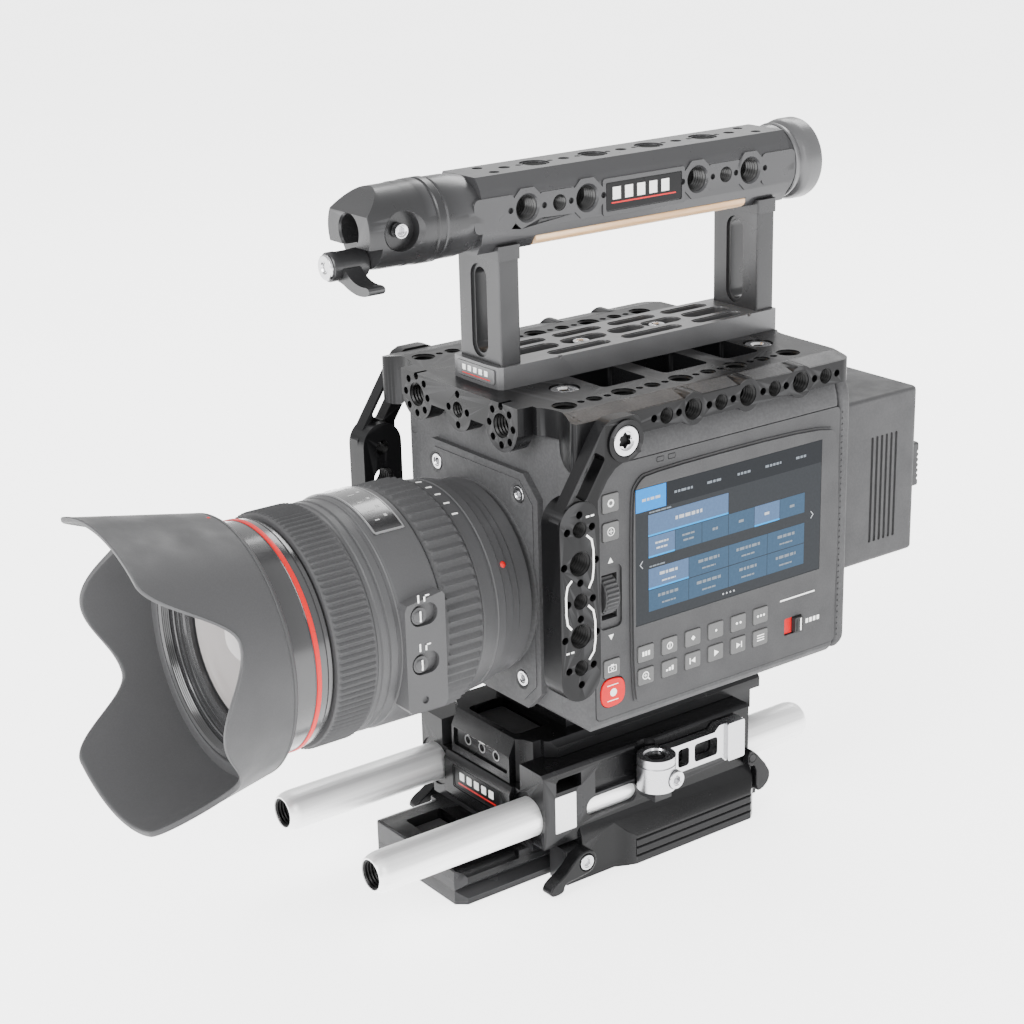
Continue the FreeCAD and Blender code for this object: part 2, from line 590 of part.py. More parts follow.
def make_mount_and_inside():
    w, z = d.mount_half_width, d.lens_z
    nip = 8
    high, low = z + 45, z - 44
    outline = [(-w + nip, low), (w - nip, low), (w, low + nip), (w, high - nip), (w - nip, high),
               (nip - w, high), (-w, high - nip), (-w, low + nip)]
    plate = prism("xz", outline, d.mount_front, d.camera_front, "mount_plate")
    plate = soften(plate, 0.8, lambda e: abs(e.BoundBox.YMax - DRIVING_SIZES["mount_front"]) < 0.01)
    ring = rod("y", d.mount_radius, d.mount_face, d.mount_front + 0.5, (0, z))
    throat = rod("y", d.mount_bore, d.mount_face - 1, d.camera_front + 1, (0, z))
    spots = [(sx * 25, z + dz) for sx in (-1, 1) for dz in (36.7, -33.3)]
    wells = [rod("y", 3.1, d.mount_front - 1, d.mount_front + 1.2, spot) for spot in spots]
    keep("lens_mount_plate", cut(join([plate, ring]), [throat] + wells))
    heads = []
    for x, level in spots:
        head = rod("y", 3.0, d.mount_front - 0.3, d.mount_front + 1.2, (x, level))
        key = prism("xz", ring_points(6, 1.5, x, level), d.mount_front - 1, d.mount_front + 0.7, "socket")
        heads.append(cut(head, [key]))
    keep("lens_mount_screws", gather(heads))
    chip = box((-20, 20), (-12, -9), (z - 14, z + 14))
    carrier = box((-26, 26), (-9, -6), (z - 20, z + 20))
    legs = [rod("y", 3, -6, 20, (sx * 22, z + dz)) for sx in (-1, 1) for dz in (-16, 16)]
    keep("image_sensor", join([chip, carrier] + legs))
    keep("main_board", box((d.camera_wall - d.camera_half_width, d.panel_inner - d.camera_wall), (20, 22), (72, 162)))
    hub = rod("y", 7, 40, 50, (0, z))
    blades = []
    blade_count = 7
    root = Placement(Vector(6.3, 0, -0.8), Rotation())
    for i in range(blade_count):
        turn = Rotation(Vector(0, 1, 0), 360 * i / blade_count)
        blade = doc.addObject("Part::Box", unique("blade"))
        blade.Length, blade.Width, blade.Height = 13.7, 8, 1.6
        blade.Placement = Placement(Vector(0, 41, DRIVING_SIZES["lens_z"]), turn) * root
        blades.append(blade)
    shaft = rod("y", 1.5, 36, 52, (0, z))
    fan = cut(join([hub] + blades), [rod("y", 1.56, 30, 60, (0, z))])
    keep("cooling_fan", fan)
    frame = cut(box((-30, 30), (34, 37), (z - 30, z + 30)), [rod("y", 24, 30, 40, (0, z))])
    bar = box((-30, 30), (34, 37), (z - 3, z + 3))
    rear = d.camera_rear - d.back_depth
    posts = [rod("y", 3, 37, rear, (sx * 26, z + dz)) for sx in (-1, 1) for dz in (-26, 26)]
    keep("fan_frame", join([frame, bar, shaft] + posts))


# ---- lens ----

def make_lens():
    z = d.lens_z
    core, bore, gap = d.core_radius, d.core_bore, d.ring_gap
    fixed = [(d.mount_face, bore), (d.mount_face, 36.4), (d.mount_face - 6.5, 36.6), (d.mount_face - 9, 37.6),
             (d.mount_face - 13, 39.2), (d.zoom_rear + gap, 39.6), (d.zoom_rear + gap, core),
             (d.zoom_front - gap, core), (d.zoom_front - gap, d.barrel_radius + 0.6), (-104.0, d.barrel_radius + 0.3),
             (-105.0, d.barrel_radius), (-110.5, d.barrel_radius), (-111.0, d.barrel_radius - 0.5),
             (d.focus_rear + gap, d.barrel_radius - 0.5), (d.focus_rear + gap, core), (d.focus_front, core),
             (d.focus_front, bore)]
    barrel = turned(fixed, "lens_barrel", 0, z)
    face = d.barrel_radius + 1.9
    panel = [(-104.4, z - 22), (-104.4, z + 15.5), (-88.2, z + 17.5), (-88.2, z - 22)]
    pad = prism("yz", panel, core, face, "switch_pad")
    wells = [box((face - 2.5, face + 1), (-102.2, -91.6), (level - 4.2, level + 4.2)) for level in SWITCH_LEVELS]
    hollow = rod("y", core, -106, -88, (0, z))
    pad = cut(pad, [hollow])
    cell = turned([(-64, 20), (-64, bore + 1), (-52, bore + 1), (-52, 20)], "rear_cell", 0, z)
    keep("lens_barrel", cut(join([barrel, pad, cell]), wells))
    for label, level in zip(("focus_switch", "stabiliser_switch"), SWITCH_LEVELS):
        keep(label, box((face - 2.4, face + 0.9), (-101.9, -95.9), (level - 3.4, level + 3.4)))
    ring = d.ring_radius
    inner = core + gap
    keep("zoom_ring", turned([(d.zoom_rear, inner), (d.zoom_rear, ring - 1.6), (d.zoom_rear - 1, ring - 0.6),
                              (d.zoom_rear - 1, ring), (d.zoom_front + 1.2, ring), (d.zoom_front, ring - 0.6),
                              (d.zoom_front, inner)], "zoom_ring", 0, z))
    keep("focus_ring", turned([(d.focus_rear, inner), (d.focus_rear, ring - 0.8), (d.focus_rear - 0.8, ring),
                               (d.focus_front + 0.8, ring), (d.focus_front, ring - 0.8),
                               (d.focus_front, inner)], "focus_ring", 0, z))
    r, rim = d.front_barrel_radius, d.front_barrel_front
    slide_tube = bore - gap
    sleeve = [(-88.0, slide_tube - 2.2), (-88.0, slide_tube), (d.front_barrel_rear, slide_tube),
              (d.front_barrel_rear, r - 0.6), (-135.8, r), (rim + 1.6, r), (rim, r - 1.4), (rim, 38.0),
              (rim + 3.4, 38.0), (rim + 3.4, 35.4), (rim + 6.0, 35.4), (rim + 6.0, slide_tube - 2.2)]
    keep("front_barrel", turned(sleeve, "front_barrel", 0, z))
    glass = slide_tube - 2.2
    keep("front_element", turned([(-146.5, 0), (-146.5, glass), (-143.0, glass), (-142.0, 0)], "front_glass", 0, z))
    keep("rear_element", turned([(-62.0, 0), (-62.0, 20), (-57.0, 20), (-55.5, 0)], "rear_glass", 0, z))
    keep("lens_hood", make_hood())


SWITCH_LEVELS = (124.5, 107.0)


def petal_edge(angle):
    """Y of the hood's front edge at an angle about the lens axis, measured from +X."""
    side_tip, notch, long_tip, lower_tip = -177.7, -167.0, -195.0, -191.0
    notch_at, top_from = 33.0, 62.0
    turned_back = math.degrees(angle) - DRIVING_SIZES["hood_turn"]
    up = math.sin(math.radians(turned_back)) >= 0
    folded = math.degrees(math.asin(min(1.0, abs(math.sin(math.radians(turned_back))))))
    tip = long_tip if up else lower_tip
    if folded < notch_at:
        return side_tip + (notch - side_tip) * (1 - math.cos(math.pi * folded / notch_at)) / 2
    if folded < top_from:
        share = (folded - notch_at) / (top_from - notch_at)
        return notch + (tip - notch) * (1 - math.cos(math.pi * share)) / 2
    return tip


def make_hood():
    """A flared shell whose front is trimmed to four petals."""
    rear, radius, wall = d.hood_rear, d.hood_radius, d.hood_wall
    front = -200.0
    reach = rear - front
    end = radius + d.hood_flare * reach
    ring_front = rear - 6
    shell = [(rear, d.front_barrel_radius + 0.3), (rear, radius - 0.8), (rear - 0.8, radius), (front, end),
             (front, end - wall), (ring_front, radius - wall), (ring_front, d.front_barrel_radius + 0.3)]
    hood = turned(shell, "hood", 0, d.lens_z)
    count = 96
    angles = [2 * math.pi * i / count for i in range(count)]
    centre = DRIVING_SIZES["lens_z"]

    def loop(radius_here, level):
        points = [Vector(radius_here * math.cos(a), level(a), centre + radius_here * math.sin(a)) for a in angles]
        curve = Part.BSplineCurve()
        curve.interpolate(points, PeriodicFlag=True)
        return curve.toShape()

    def flat(_angle):
        return -230.0

    near, far = 25.0, 75.0
    rims = [loop(near, petal_edge), loop(far, petal_edge), loop(far, flat), loop(near, flat)]
    faces = [Part.makeRuledSurface(rims[i], rims[(i + 1) % 4]) for i in range(4)]
    trim = Part.Solid(Part.Shell([face for side in faces for face in side.Faces]))
    if trim.Volume < 0:
        trim.reverse()
    tool = doc.addObject("Part::Feature", unique("petals"))
    tool.Shape = trim
    return cut(hood, [tool])


# ---- cage ----

def holes_along(axis, radius, low, high, spots):
    return [rod(axis, radius, low, high, spot) for spot in spots]


def make_cage_top():
    w, top, edge = d.cage_half_width, d.cage_top, d.cage_edge_top
    flat, floor = d.cage_flat, d.camera_top
    section = [(-w, floor), (w, floor), (w, edge), (flat, top), (-flat, top), (-w, edge)]
    plate = prism("xz", section, -44, 88, "cage_plate")
    block_half = 35.5
    block = box((-block_half, block_half), (d.cage_front, -39), (floor, top))
    lobes = []
    hole_z = 176.9
    for x, radius in ((-25.8, 9.4), (0, 8.0), (25.8, 9.4)):
        lobe = rod("y", radius, d.cage_front, d.mount_front - 0.4, (x, hole_z))
        lobes.append(overlap(lobe, box((-40, 40), (-60, -40), (160, top))))
    for side in (-1, 1):
        ear = [(47 * side, floor + 2), (47 * side, 169), (50 * side, 166), (w * side, 166), (w * side, floor + 2)]
        lobes.append(prism("xz", ear, -44, -41.4, "ear"))
    trims = []
    for side in (-1, 1):
        rear = [(side * w, d.cage_rear), (side * (w + 1), d.cage_rear), (side * (w + 1), 90), (side * 16, 90),
                (side * 16, 88), (side * 48.5, 84.6)]
        trims.append(prism("xy", rear, floor - 1, top + 1, "rear_trim"))
        front = [(side * block_half, -52), (side * 58, -52), (side * 54, -44), (side * 47, -41.5),
                 (side * 40, -43), (side * 36.5, -46), (side * block_half, -50.7)]
        trims.append(prism("xy", front, floor - 1, top + 1, "front_trim"))
    tools = trims
    top_x = 42.5
    for side in (-1, 1):
        big = [(side * top_x, -36 + 26 * i) for i in range(5)]
        small = [(side * top_x, -23 + 26 * i) for i in range(4)]
        tools += holes_along("z", d.big_thread, floor - 1, top + 1, big)
        tools += holes_along("z", 5.4, floor - 1, floor + 1, big)
        tools += holes_along("z", d.small_thread, floor + 2, top + 1, small)
        pins = [(side * top_x, y + s * 5.8) for _, y in small for s in (-1, 1)]
        tools += holes_along("z", d.pin_hole, floor + 2, top + 1, pins)
        for low, high in ((-12, 8), (16, 37), (45, 62)):
            tools.append(box((side * 13, side * 34), (low, high), (floor - 1, top + 1)))
        shift = 0 if side > 0 else d.left_row_shift
        side_big = [(y + shift, 178.9) for y in (7.7, 33.2, 58.8)]
        side_small = [(y + shift, 178.9) for y in (-4.5, 20.6, 46.0, 71.2)]
        side_pins = [(y + s * 5.6, 178.9) for y, _ in side_small for s in (-1, 1)]
        depth = (w - 7, w + 1) if side > 0 else (-w - 1, 7 - w)
        tools += holes_along("x", 3.9, *depth, side_big)
        tools += holes_along("x", d.small_thread, *depth, side_small)
        tools += holes_along("x", d.pin_hole, *depth, side_pins)
    front = (d.cage_front - 1, d.cage_front + 7)
    for x in (-25.8, 25.8):
        tools.append(rod("y", d.big_thread, *front, (x, hole_z)))
        ring = [(x + 6.7 * math.cos(a), hole_z + 6.7 * math.sin(a)) for a in pin_angles(7)]
        tools += holes_along("y", d.pin_hole, *front, ring)
    tools.append(rod("y", d.small_thread, *front, (0, hole_z)))
    tools += holes_along("y", d.pin_hole, *front, [(5.4 * math.cos(a), hole_z + 5.4 * math.sin(a))
                                                    for a in pin_angles(4)])
    heads = [(sx * 25.2, y) for sx in (-1, 1) for y in (-22.5, 69.1)]
    tools += holes_along("z", 5.6, top - 2.2, top + 1, heads)
    keep("cage_top_plate", cut(join([plate, block] + lobes), tools))
    screws = [screw_along_z(5.4, top - 2.2, top - 0.4, x, y, 2.4) for x, y in heads]
    arm_head = screw_along_x(5.5, d.arm_outer - 2.4, d.arm_outer + 0.2, *ARM_SCREW, 2.6)
    keep("cage_screws", gather(screws + [arm_head, mirrored(arm_head)]))


def pin_angles(count):
    return [math.pi / 2 + 2 * math.pi * i / count for i in range(count)]


ARM_SCREW = (-27.2, 175.8)


def make_cage_arms():
    side_view = [(-56.3, 95), (-56.3, 152.5), (-37.5, 181), (-33.5, 184.2), (-23, 184.2), (-20.3, 182),
                 (-20.3, 170.5), (-27.5, 168.6), (-34, 165), (-39.3, 157), (-39.3, 95)]
    arm = prism("yz", side_view, d.cage_half_width, d.arm_outer, "arm")
    bar = box((d.arm_inner, d.arm_outer), (-56.3, -39.3), (95, 152.5))
    foot = rod("x", 8.5, d.arm_inner, d.arm_outer, (-47.8, 95))
    tools = [rod("x", 5.7, d.arm_outer - 2.4, d.arm_outer + 1, ARM_SCREW)]
    slope = math.radians(56.5)
    along = (math.cos(slope), math.sin(slope))
    across = (-along[1], along[0])
    corners = [(-7, -2.8), (7, -2.8), (7, 2.8), (-7, 2.8)]
    slot = [(-42.6 + a * along[0] + b * across[0], 166.2 + a * along[1] + b * across[1]) for a, b in corners]
    tools.append(prism("yz", slot, d.arm_inner - 1, d.arm_outer + 1, "slot"))
    bores = ((149.0, d.small_thread), (136.8, d.big_thread), (123.2, d.small_thread), (110.5, d.big_thread),
             (98.8, d.small_thread))
    for level, radius in bores:
        tools.append(rod("x", radius, d.arm_inner - 1, d.arm_outer + 1, (-47.8, level)))
        reach = as_size(radius) + 2.4
        tools += [rod("x", d.pin_hole, d.arm_outer - 5, d.arm_outer + 1, (-47.8 + s * reach, level))
                  for s in (-1, 1)]
    for level in (154.2, 129.9, 116.8, 92.6):
        tools.append(rod("x", d.pin_hole, d.arm_outer - 5, d.arm_outer + 1, (-47.8, level)))
    arm = cut(join([arm, bar, foot]), tools)
    keep("cage_arm_right", arm)
    keep("cage_arm_left", mirrored(arm))


# ---- handle ----

def make_handle_frame():
    w, top, floor = d.handle_half_width, d.handle_base_top, d.cage_top
    nip = 2.5
    outline = [(-w, d.handle_base_front), (w - nip, d.handle_base_front), (w, d.handle_base_front + nip),
               (w, d.handle_base_rear), (-w, d.handle_base_rear)]
    base = prism("xy", outline, floor, top, "handle_base")
    base = soften(base, 0.6, lambda e: runs_along(e, "y", 40))
    tools = []
    for level, half, spans in ((-9, 2.4, ((-24, -8), (2, 18), (28, 44), (54, 70))),
                               (0, 3.4, ((-26, -10), (0, 12), (22, 30), (38, 48), (58, 72))),
                               (9, 2.4, ((-14, 8), (20, 42), (54, 72)))):
        for low, high in spans:
            tools.append(obround(low, high, half, level, floor + 3, top + 1))
    wells = [(0, 5.0), (0, 41.0)]
    keep("handle_base", cut(base, tools))
    base_screws = [screw_along_z(3.3, floor + 3, top - 0.5, x, y, 1.8) for x, y in wells]
    half, foot = d.post_half_width, top
    for label, front in (("handle_post_front", d.front_post), ("handle_post_rear", d.rear_post)):
        rear = front + d.post_depth
        post = box((-half, half), (front, rear), (foot, d.handle_z - d.handle_radius + 2.6))
        post = soften(post, 0.6, lambda e: runs_along(e, "z", 20))
        slot = box((-3.4, 3.4), (front - 1, rear + 1), (foot + 6, foot + 30))
        ends = [rod("y", 3.4, front - 1, rear + 1, (0, level)) for level in (foot + 6, foot + 30)]
        keep(label, cut(post, [join([slot] + ends)]))
    return base_screws


def make_handle_tube():
    r, z = d.handle_radius, d.handle_z
    quarter = [(r, 5.5), (r - 0.9, 9.2), (9.4, r - 0.4)]
    section = [(u, z + v) for u, v in quarter]
    section += [(-u, z + v) for u, v in reversed(quarter)]
    section += [(-u, z - v) for u, v in quarter]
    section += [(u, z - v) for u, v in reversed(quarter)]
    middle = prism("xz", section, -50, 98, "handle_tube")
    shoulder = turned([(-62, 0), (-62, 13.6), (-60.5, 14.25), (-54, 14.25), (-46, 13.2), (-46, 0)], "shoulder", 0, z)
    side_holes = ((-28.0, d.big_thread), (-14.2, d.small_thread), (-1.9, d.big_thread),
                  (49.2, d.big_thread), (62.8, d.small_thread), (75.0, d.big_thread))
    tools = [box((-13, 13), (-24, 74), (z - 20, z - 9.2))]
    tools += [rod("x", radius, -20, 20, (y, z + 1)) for y, radius in side_holes]
    tools += [rod("z", d.big_thread, z + 5, z + 20, (0, -14.7 + 26 * i)) for i in range(4)]
    tools += [rod("z", 2.1, z + 5, z + 20, (0, -27.7 + 26 * i)) for i in range(5)]
    tools += [rod("z", 1.9, z + 5, z + 20, (side * 5, y)) for side in (-1, 1) for y in (-35.6, 85.3)]
    for front in (d.front_post, d.rear_post):
        tools.append(box((-d.post_half_width, d.post_half_width), (front, front + d.post_depth),
                         (z - 20, z - r + 2.6)))
    tools.append(box((r - 0.5, r + 1), (6.4, 41.6), (z - 5.2, z + 5.2)))
    keep("handle_tube", cut(join([middle, shoulder]), tools))
    grip = [(-12.4, z - 9.2), (12.4, z - 9.2), (12.4, z - 11.6), (9.8, z - 13), (5, z - 14), (-5, z - 14),
            (-9.8, z - 13), (-12.4, z - 11.6)]
    keep("handle_grip", prism("xz", grip, -23.8, 73.8, "grip"))
    cap = [(98, 0), (98, 14.2), (99.5, 14.2), (100.3, 13.6), (101.5, 14.6), (104.5, 15.4), (109.5, 15.4),
           (111.0, 14.4), (111.0, 0)]
    keep("handle_cap", turned(cap, "cap", 0, z))


LEVER_Z = 235.6


def make_handle_head(base_screws):
    z = d.handle_z
    profile = [(-92, 0), (-92, 12.8), (-84, 13.9), (-70, 14.0), (-69.4, 14.4), (-66, 14.6), (-65.6, 14.1),
               (-65, 14.1), (-64.6, 14.6), (-62, 14.6), (-62, 0)]
    head = turned(profile, "handle_head", 0, z)
    brow = [(-93, z + 5.4), (-92, z + 6.1), (-84.5, z + 13), (-83, z + 14), (-83, z + 16), (-93, z + 16)]
    tools = [rod("y", 5.7, -93, -78, (0, z)),
             rod("x", 6.8, 9.0, 20, (-79, z)),
             prism("yz", brow, -20, 20, "brow"),
             box((-20, 20), (-93, -87), (z - 20, 241.6))]
    keep("handle_head", cut(head, tools))
    boss = rod("x", 2.6, 9.0, 12.6, (-79, z))
    key = prism("yz", ring_points(6, 1.5, -79, z), 11.2, 15, "socket")
    head_screw = cut(boss, [key])
    hub = rod("y", 5.0, -101, -87.4, (0, LEVER_Z))
    arm_view = [(-1, LEVER_Z - 4.8), (4.6, LEVER_Z), (7.0, 233.6), (10.4, 231.6), (14.6, 230.8), (19.8, 231.2),
                (19.6, 228.6), (13.6, 227.6), (7.6, 228.6), (3.6, 230.2)]
    arm = prism("xz", arm_view, -97.6, -91.2, "lever_arm")
    keep("handle_lever", cut(join([hub, arm]), [rod("y", 2.66, -102, -86, (0, LEVER_Z))]))
    pin = rod("y", 2.6, -101.6, -84, (0, LEVER_Z))
    cap = rod("y", 4.4, -102.2, -101.1, (0, LEVER_Z))
    key = prism("xz", ring_points(6, 1.6, 0, LEVER_Z), -103, -101.4, "socket")
    lever_screw = cut(join([pin, cap]), [key])
    keep("handle_screws", gather(base_screws + [head_screw, lever_screw]))


# ---- battery ----

def make_battery():
    w, low, high = d.battery_half_width, d.battery_low, d.battery_high
    front, rear = d.camera_rear + 0.3, d.battery_rear
    pack = box((-w, w), (front, rear), (low, high))
    pack = soften(pack, 3.0, lambda e: e.Length > 20 and not abs(e.BoundBox.YMax - 90.3) < 0.01, "Part::Fillet")
    tools = []
    for i in range(6):
        y = 110.5 + 2.6 * i
        tools.append(box((w - 0.8, w + 1), (y, y + 1.2), (101, 144)))
        tools.append(box((-w - 1, 0.8 - w), (y, y + 1.2), (101, 144)))
    tools.append(box((34.9, 43.5), (rear - 4.4, rear + 1), (117.7, 136.3)))
    keep("battery", cut(pack, tools))
    keep("battery_latch", box((35.2, 43.2), (rear - 2.4, rear + 3.2), (118, 136)))


make_dovetail_plate()
make_bridge_plate()
make_side_rails()
make_rods()
make_rod_levers()
make_front_plate()
make_lock_lever()
make_release_tab()
make_camera_plate()
make_camera_body()
make_side_panel()
make_controls()
make_mount_and_inside()
make_lens()
make_cage_top()
make_cage_arms()
handle_base_screws = make_handle_frame()
make_handle_tube()
make_handle_head(handle_base_screws)
make_battery()

doc.recompute()
for thing in doc.Objects:
    if "Invalid" in thing.State or "Error" in thing.State:
        raise RuntimeError(f"{thing.Label} failed: {thing.State}")
for label, thing in nodes.items():
    if thing.Shape.isNull() or not thing.Shape.isValid():
        raise RuntimeError(f"{label} has no valid shape")

os.makedirs("parts", exist_ok=True)
for label, thing in nodes.items():
    thing.Shape.exportStep(f"parts/{label}.step")
print(len(nodes), "nodes written")
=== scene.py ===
import json
import math
import random

import bmesh
import bpy
from mathutils import Matrix, Vector


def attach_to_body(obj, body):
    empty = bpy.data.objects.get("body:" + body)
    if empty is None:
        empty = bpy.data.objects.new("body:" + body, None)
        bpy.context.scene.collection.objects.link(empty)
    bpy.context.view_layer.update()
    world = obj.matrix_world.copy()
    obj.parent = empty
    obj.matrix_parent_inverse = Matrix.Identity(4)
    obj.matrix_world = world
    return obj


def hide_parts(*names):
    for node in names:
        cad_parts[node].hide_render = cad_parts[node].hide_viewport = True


# Looks of the cinema camera rig. Lengths below are in millimetres in the row frame unless a name
# says otherwise; the mesh helpers turn them into metres.

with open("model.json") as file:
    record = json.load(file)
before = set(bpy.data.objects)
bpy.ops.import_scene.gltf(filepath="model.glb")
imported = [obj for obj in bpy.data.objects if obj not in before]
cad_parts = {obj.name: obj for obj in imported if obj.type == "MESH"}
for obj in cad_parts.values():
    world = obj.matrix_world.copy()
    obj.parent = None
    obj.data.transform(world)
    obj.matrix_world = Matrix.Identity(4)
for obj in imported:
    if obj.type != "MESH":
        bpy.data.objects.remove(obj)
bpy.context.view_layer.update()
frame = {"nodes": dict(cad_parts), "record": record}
NODES = frame["nodes"]
BODY_OF = {n: b for b, ns in frame["record"]["behaviour"]["bodies"].items() for n in ns}
SLOT_OF = {s["node"]: s["material_slot"] for s in frame["record"]["subparts"]}
MM = 0.001
SIDES = (-1, 1)
replaced = set()


# ---- materials ----

def linear(code):
    """A colour given as six hex digits, as linear RGB."""
    parts = [int(code[i:i + 2], 16) / 255 for i in (0, 2, 4)]
    return [c / 12.92 if c <= 0.04045 else ((c + 0.055) / 1.055) ** 2.4 for c in parts]


class Nodes:
    """Short calls for building a material's node tree."""

    def __init__(self, name):
        self.material = bpy.data.materials.new(name)
        self.material.use_nodes = True
        self.tree = self.material.node_tree
        self.shader = self.tree.nodes["Principled BSDF"]

    def add(self, kind, **settings):
        node = self.tree.nodes.new(kind)
        for key, value in settings.items():
            if key in node.inputs.keys():
                node.inputs[key].default_value = value
            else:
                setattr(node, key, value)
        return node

    def link(self, source, target):
        self.tree.links.new(source, target)
        return target

    def set(self, **values):
        for key, value in values.items():
            self.shader.inputs[key.replace("_", " ")].default_value = value

    def coords(self, stretch=(1, 1, 1)):
        source = self.add("ShaderNodeTexCoord").outputs["Object"]
        mapping = self.add("ShaderNodeMapping")
        mapping.inputs["Scale"].default_value = stretch
        self.link(source, mapping.inputs["Vector"])
        return mapping.outputs["Vector"]

    def noise(self, scale, detail=3.0, stretch=(1, 1, 1), rough=0.55):
        noise = self.add("ShaderNodeTexNoise", Scale=scale, Detail=detail, Roughness=rough)
        self.link(self.coords(stretch), noise.inputs["Vector"])
        return noise.outputs["Fac"]

    def ramp(self, source, stops):
        ramp = self.add("ShaderNodeValToRGB")
        elements = ramp.color_ramp.elements
        while len(elements) < len(stops):
            elements.new(0.5)
        for element, (place, colour) in zip(elements, stops):
            element.position = place
            element.color = (*colour, 1.0)
        self.link(source, ramp.inputs["Fac"])
        return ramp.outputs["Color"]

    def mix(self, fac, first, second):
        mix = self.add("ShaderNodeMix", data_type="RGBA")
        colour_a = [s for s in mix.inputs if s.type == "RGBA"][0]
        colour_b = [s for s in mix.inputs if s.type == "RGBA"][1]
        for socket, value in ((mix.inputs[0], fac), (colour_a, first), (colour_b, second)):
            if hasattr(value, "is_output"):
                self.link(value, socket)
            elif isinstance(value, (int, float)):
                socket.default_value = value
            else:
                socket.default_value = (*value, 1.0)
        return [s for s in mix.outputs if s.type == "RGBA"][0]

    def span(self, source, low, high, from_low=0.3, from_high=0.7):
        mapped = self.add("ShaderNodeMapRange")
        mapped.inputs["From Min"].default_value = from_low
        mapped.inputs["From Max"].default_value = from_high
        mapped.inputs["To Min"].default_value = low
        mapped.inputs["To Max"].default_value = high
        self.link(source, mapped.inputs["Value"])
        return mapped.outputs["Result"]

    def bump(self, height, strength, distance):
        bump = self.add("ShaderNodeBump", Strength=strength, Distance=distance)
        self.link(height, bump.inputs["Height"])
        previous = self.shader.inputs["Normal"].links
        if previous:
            self.link(previous[0].from_socket, bump.inputs["Normal"])
        self.link(bump.outputs["Normal"], self.shader.inputs["Normal"])


def shade(colour, factor):
    """A colour made brighter or darker, kept within white."""
    return [min(1.0, c * factor) for c in colour]


def surface(name, code, rough, metal=0.0, vary=0.05, grain=1500.0, bump=0.3, depth=0.00006, edge=0.0,
            coat=0.0, specular=0.5, speckle=0.0):
    """A procedural finish: soft colour variation, fine grain in colour, gloss and height, and a painted
    highlight that lightens sharp edges.
    """
    m = Nodes(name)
    base = linear(code)
    m.set(Metallic=metal, Coat_Weight=coat, Coat_Roughness=0.25)
    m.shader.inputs["Specular IOR Level"].default_value = specular
    broad = m.noise(28, 4)
    colour = m.ramp(broad, [(0.3, shade(base, 1 - vary)), (0.7, shade(base, 1 + vary))])
    fine = m.noise(grain, 2)
    if speckle:
        grains = m.ramp(fine, [(0.42, shade(base, 1 - speckle)), (0.6, shade(base, 1 + speckle))])
        colour = m.mix(0.5, colour, grains)
    # Painted highlight: sharp edges, found by pointiness, are lightened as if they caught the light.
    if edge:
        point = m.add("ShaderNodeNewGeometry").outputs["Pointiness"]
        rim = m.span(point, 0.0, edge, 0.52, 0.62)
        colour = m.mix(rim, colour, shade(base, 2.6) if max(base) > 0.02 else [c * 5 + 0.02 for c in base])
    m.link(colour, m.shader.inputs["Base Color"])
    m.link(m.span(m.noise(90, 3), rough * 0.86, min(1, rough * 1.16)), m.shader.inputs["Roughness"])
    m.bump(fine, bump, depth)
    return m.material


def brushed(name, code, rough, along="y", metal=1.0, strength=0.2):
    """Bare metal with long fine tooling lines along or around an axis."""
    m = Nodes(name)
    base = linear(code)
    m.set(Metallic=metal)
    thin = {"x": (4, 900, 900), "y": (900, 4, 900), "z": (900, 900, 4)}[along]
    lines = m.noise(1.0, 3, thin)
    colour = m.ramp(lines, [(0.35, shade(base, 0.9)), (0.65, shade(base, 1.06))])
    m.link(colour, m.shader.inputs["Base Color"])
    m.link(m.span(lines, rough * 0.7, rough * 1.3), m.shader.inputs["Roughness"])
    m.bump(lines, strength, 0.00003)
    m.bump(m.noise(60, 3), 0.05, 0.0001)
    return m.material


def lit(name, code, glow=0.6, rough=0.35):
    """A lit patch of the screen: its own glow over a dark, faintly mottled face."""
    m = Nodes(name)
    base = linear(code)
    colour = m.ramp(m.noise(900, 2), [(0.35, shade(base, 0.95)), (0.65, shade(base, 1.05))])
    m.link(m.mix(0.8, colour, (0.01, 0.01, 0.01)), m.shader.inputs["Base Color"])
    m.link(colour, m.shader.inputs["Emission Color"])
    m.shader.inputs["Emission Strength"].default_value = glow
    m.shader.inputs["Specular IOR Level"].default_value = 0.03
    m.set(Roughness=rough)
    return m.material


def coated_glass_painted_reflection(name):
    """The coated glass at the bottom of the lens, with a painted reflection that makes it bright and pinkish
    towards its rim.
    """
    m = Nodes(name)
    m.set(Roughness=0.06, IOR=1.5, Metallic=0.0, Coat_Weight=0.4, Coat_Roughness=0.04)
    layer = m.add("ShaderNodeLayerWeight", Blend=0.45)
    # Painted reflection: the base colour goes from near white through pink to white as the glass turns away.
    painted_reflection_tint = m.ramp(layer.outputs["Facing"], [(0.0, linear("f3e9e6")), (0.4, linear("ecdad5")),
                                            (0.62, linear("c9a39c")), (1.0, linear("f7f2f1"))])
    colour = m.mix(m.span(m.noise(30, 2), 0.0, 0.25), painted_reflection_tint, linear("a8a2a8"))
    m.link(colour, m.shader.inputs["Base Color"])
    return m.material


def clear_glass(name):
    """Coated glass that shows what is behind it and mirrors at a slant, helped by a painted reflection that
    lightens its colour at a slant.
    """
    m = Nodes(name)
    m.set(Roughness=0.03, IOR=1.5, Metallic=0.0)
    layer = m.add("ShaderNodeLayerWeight", Blend=0.3)
    # Painted reflection: the colour is dark face-on and light at a slant.
    painted_reflection_tint = m.ramp(layer.outputs["Facing"], [(0.0, linear("1c1a1b")), (1.0, linear("d8d2d0"))])
    m.link(m.mix(m.span(m.noise(20, 1), 0.0, 0.2), painted_reflection_tint, linear("3a3634")), m.shader.inputs["Base Color"])
    m.link(m.span(layer.outputs["Facing"], 0.5, 1.0, 0.01, 0.16), m.shader.inputs["Alpha"])
    return m.material


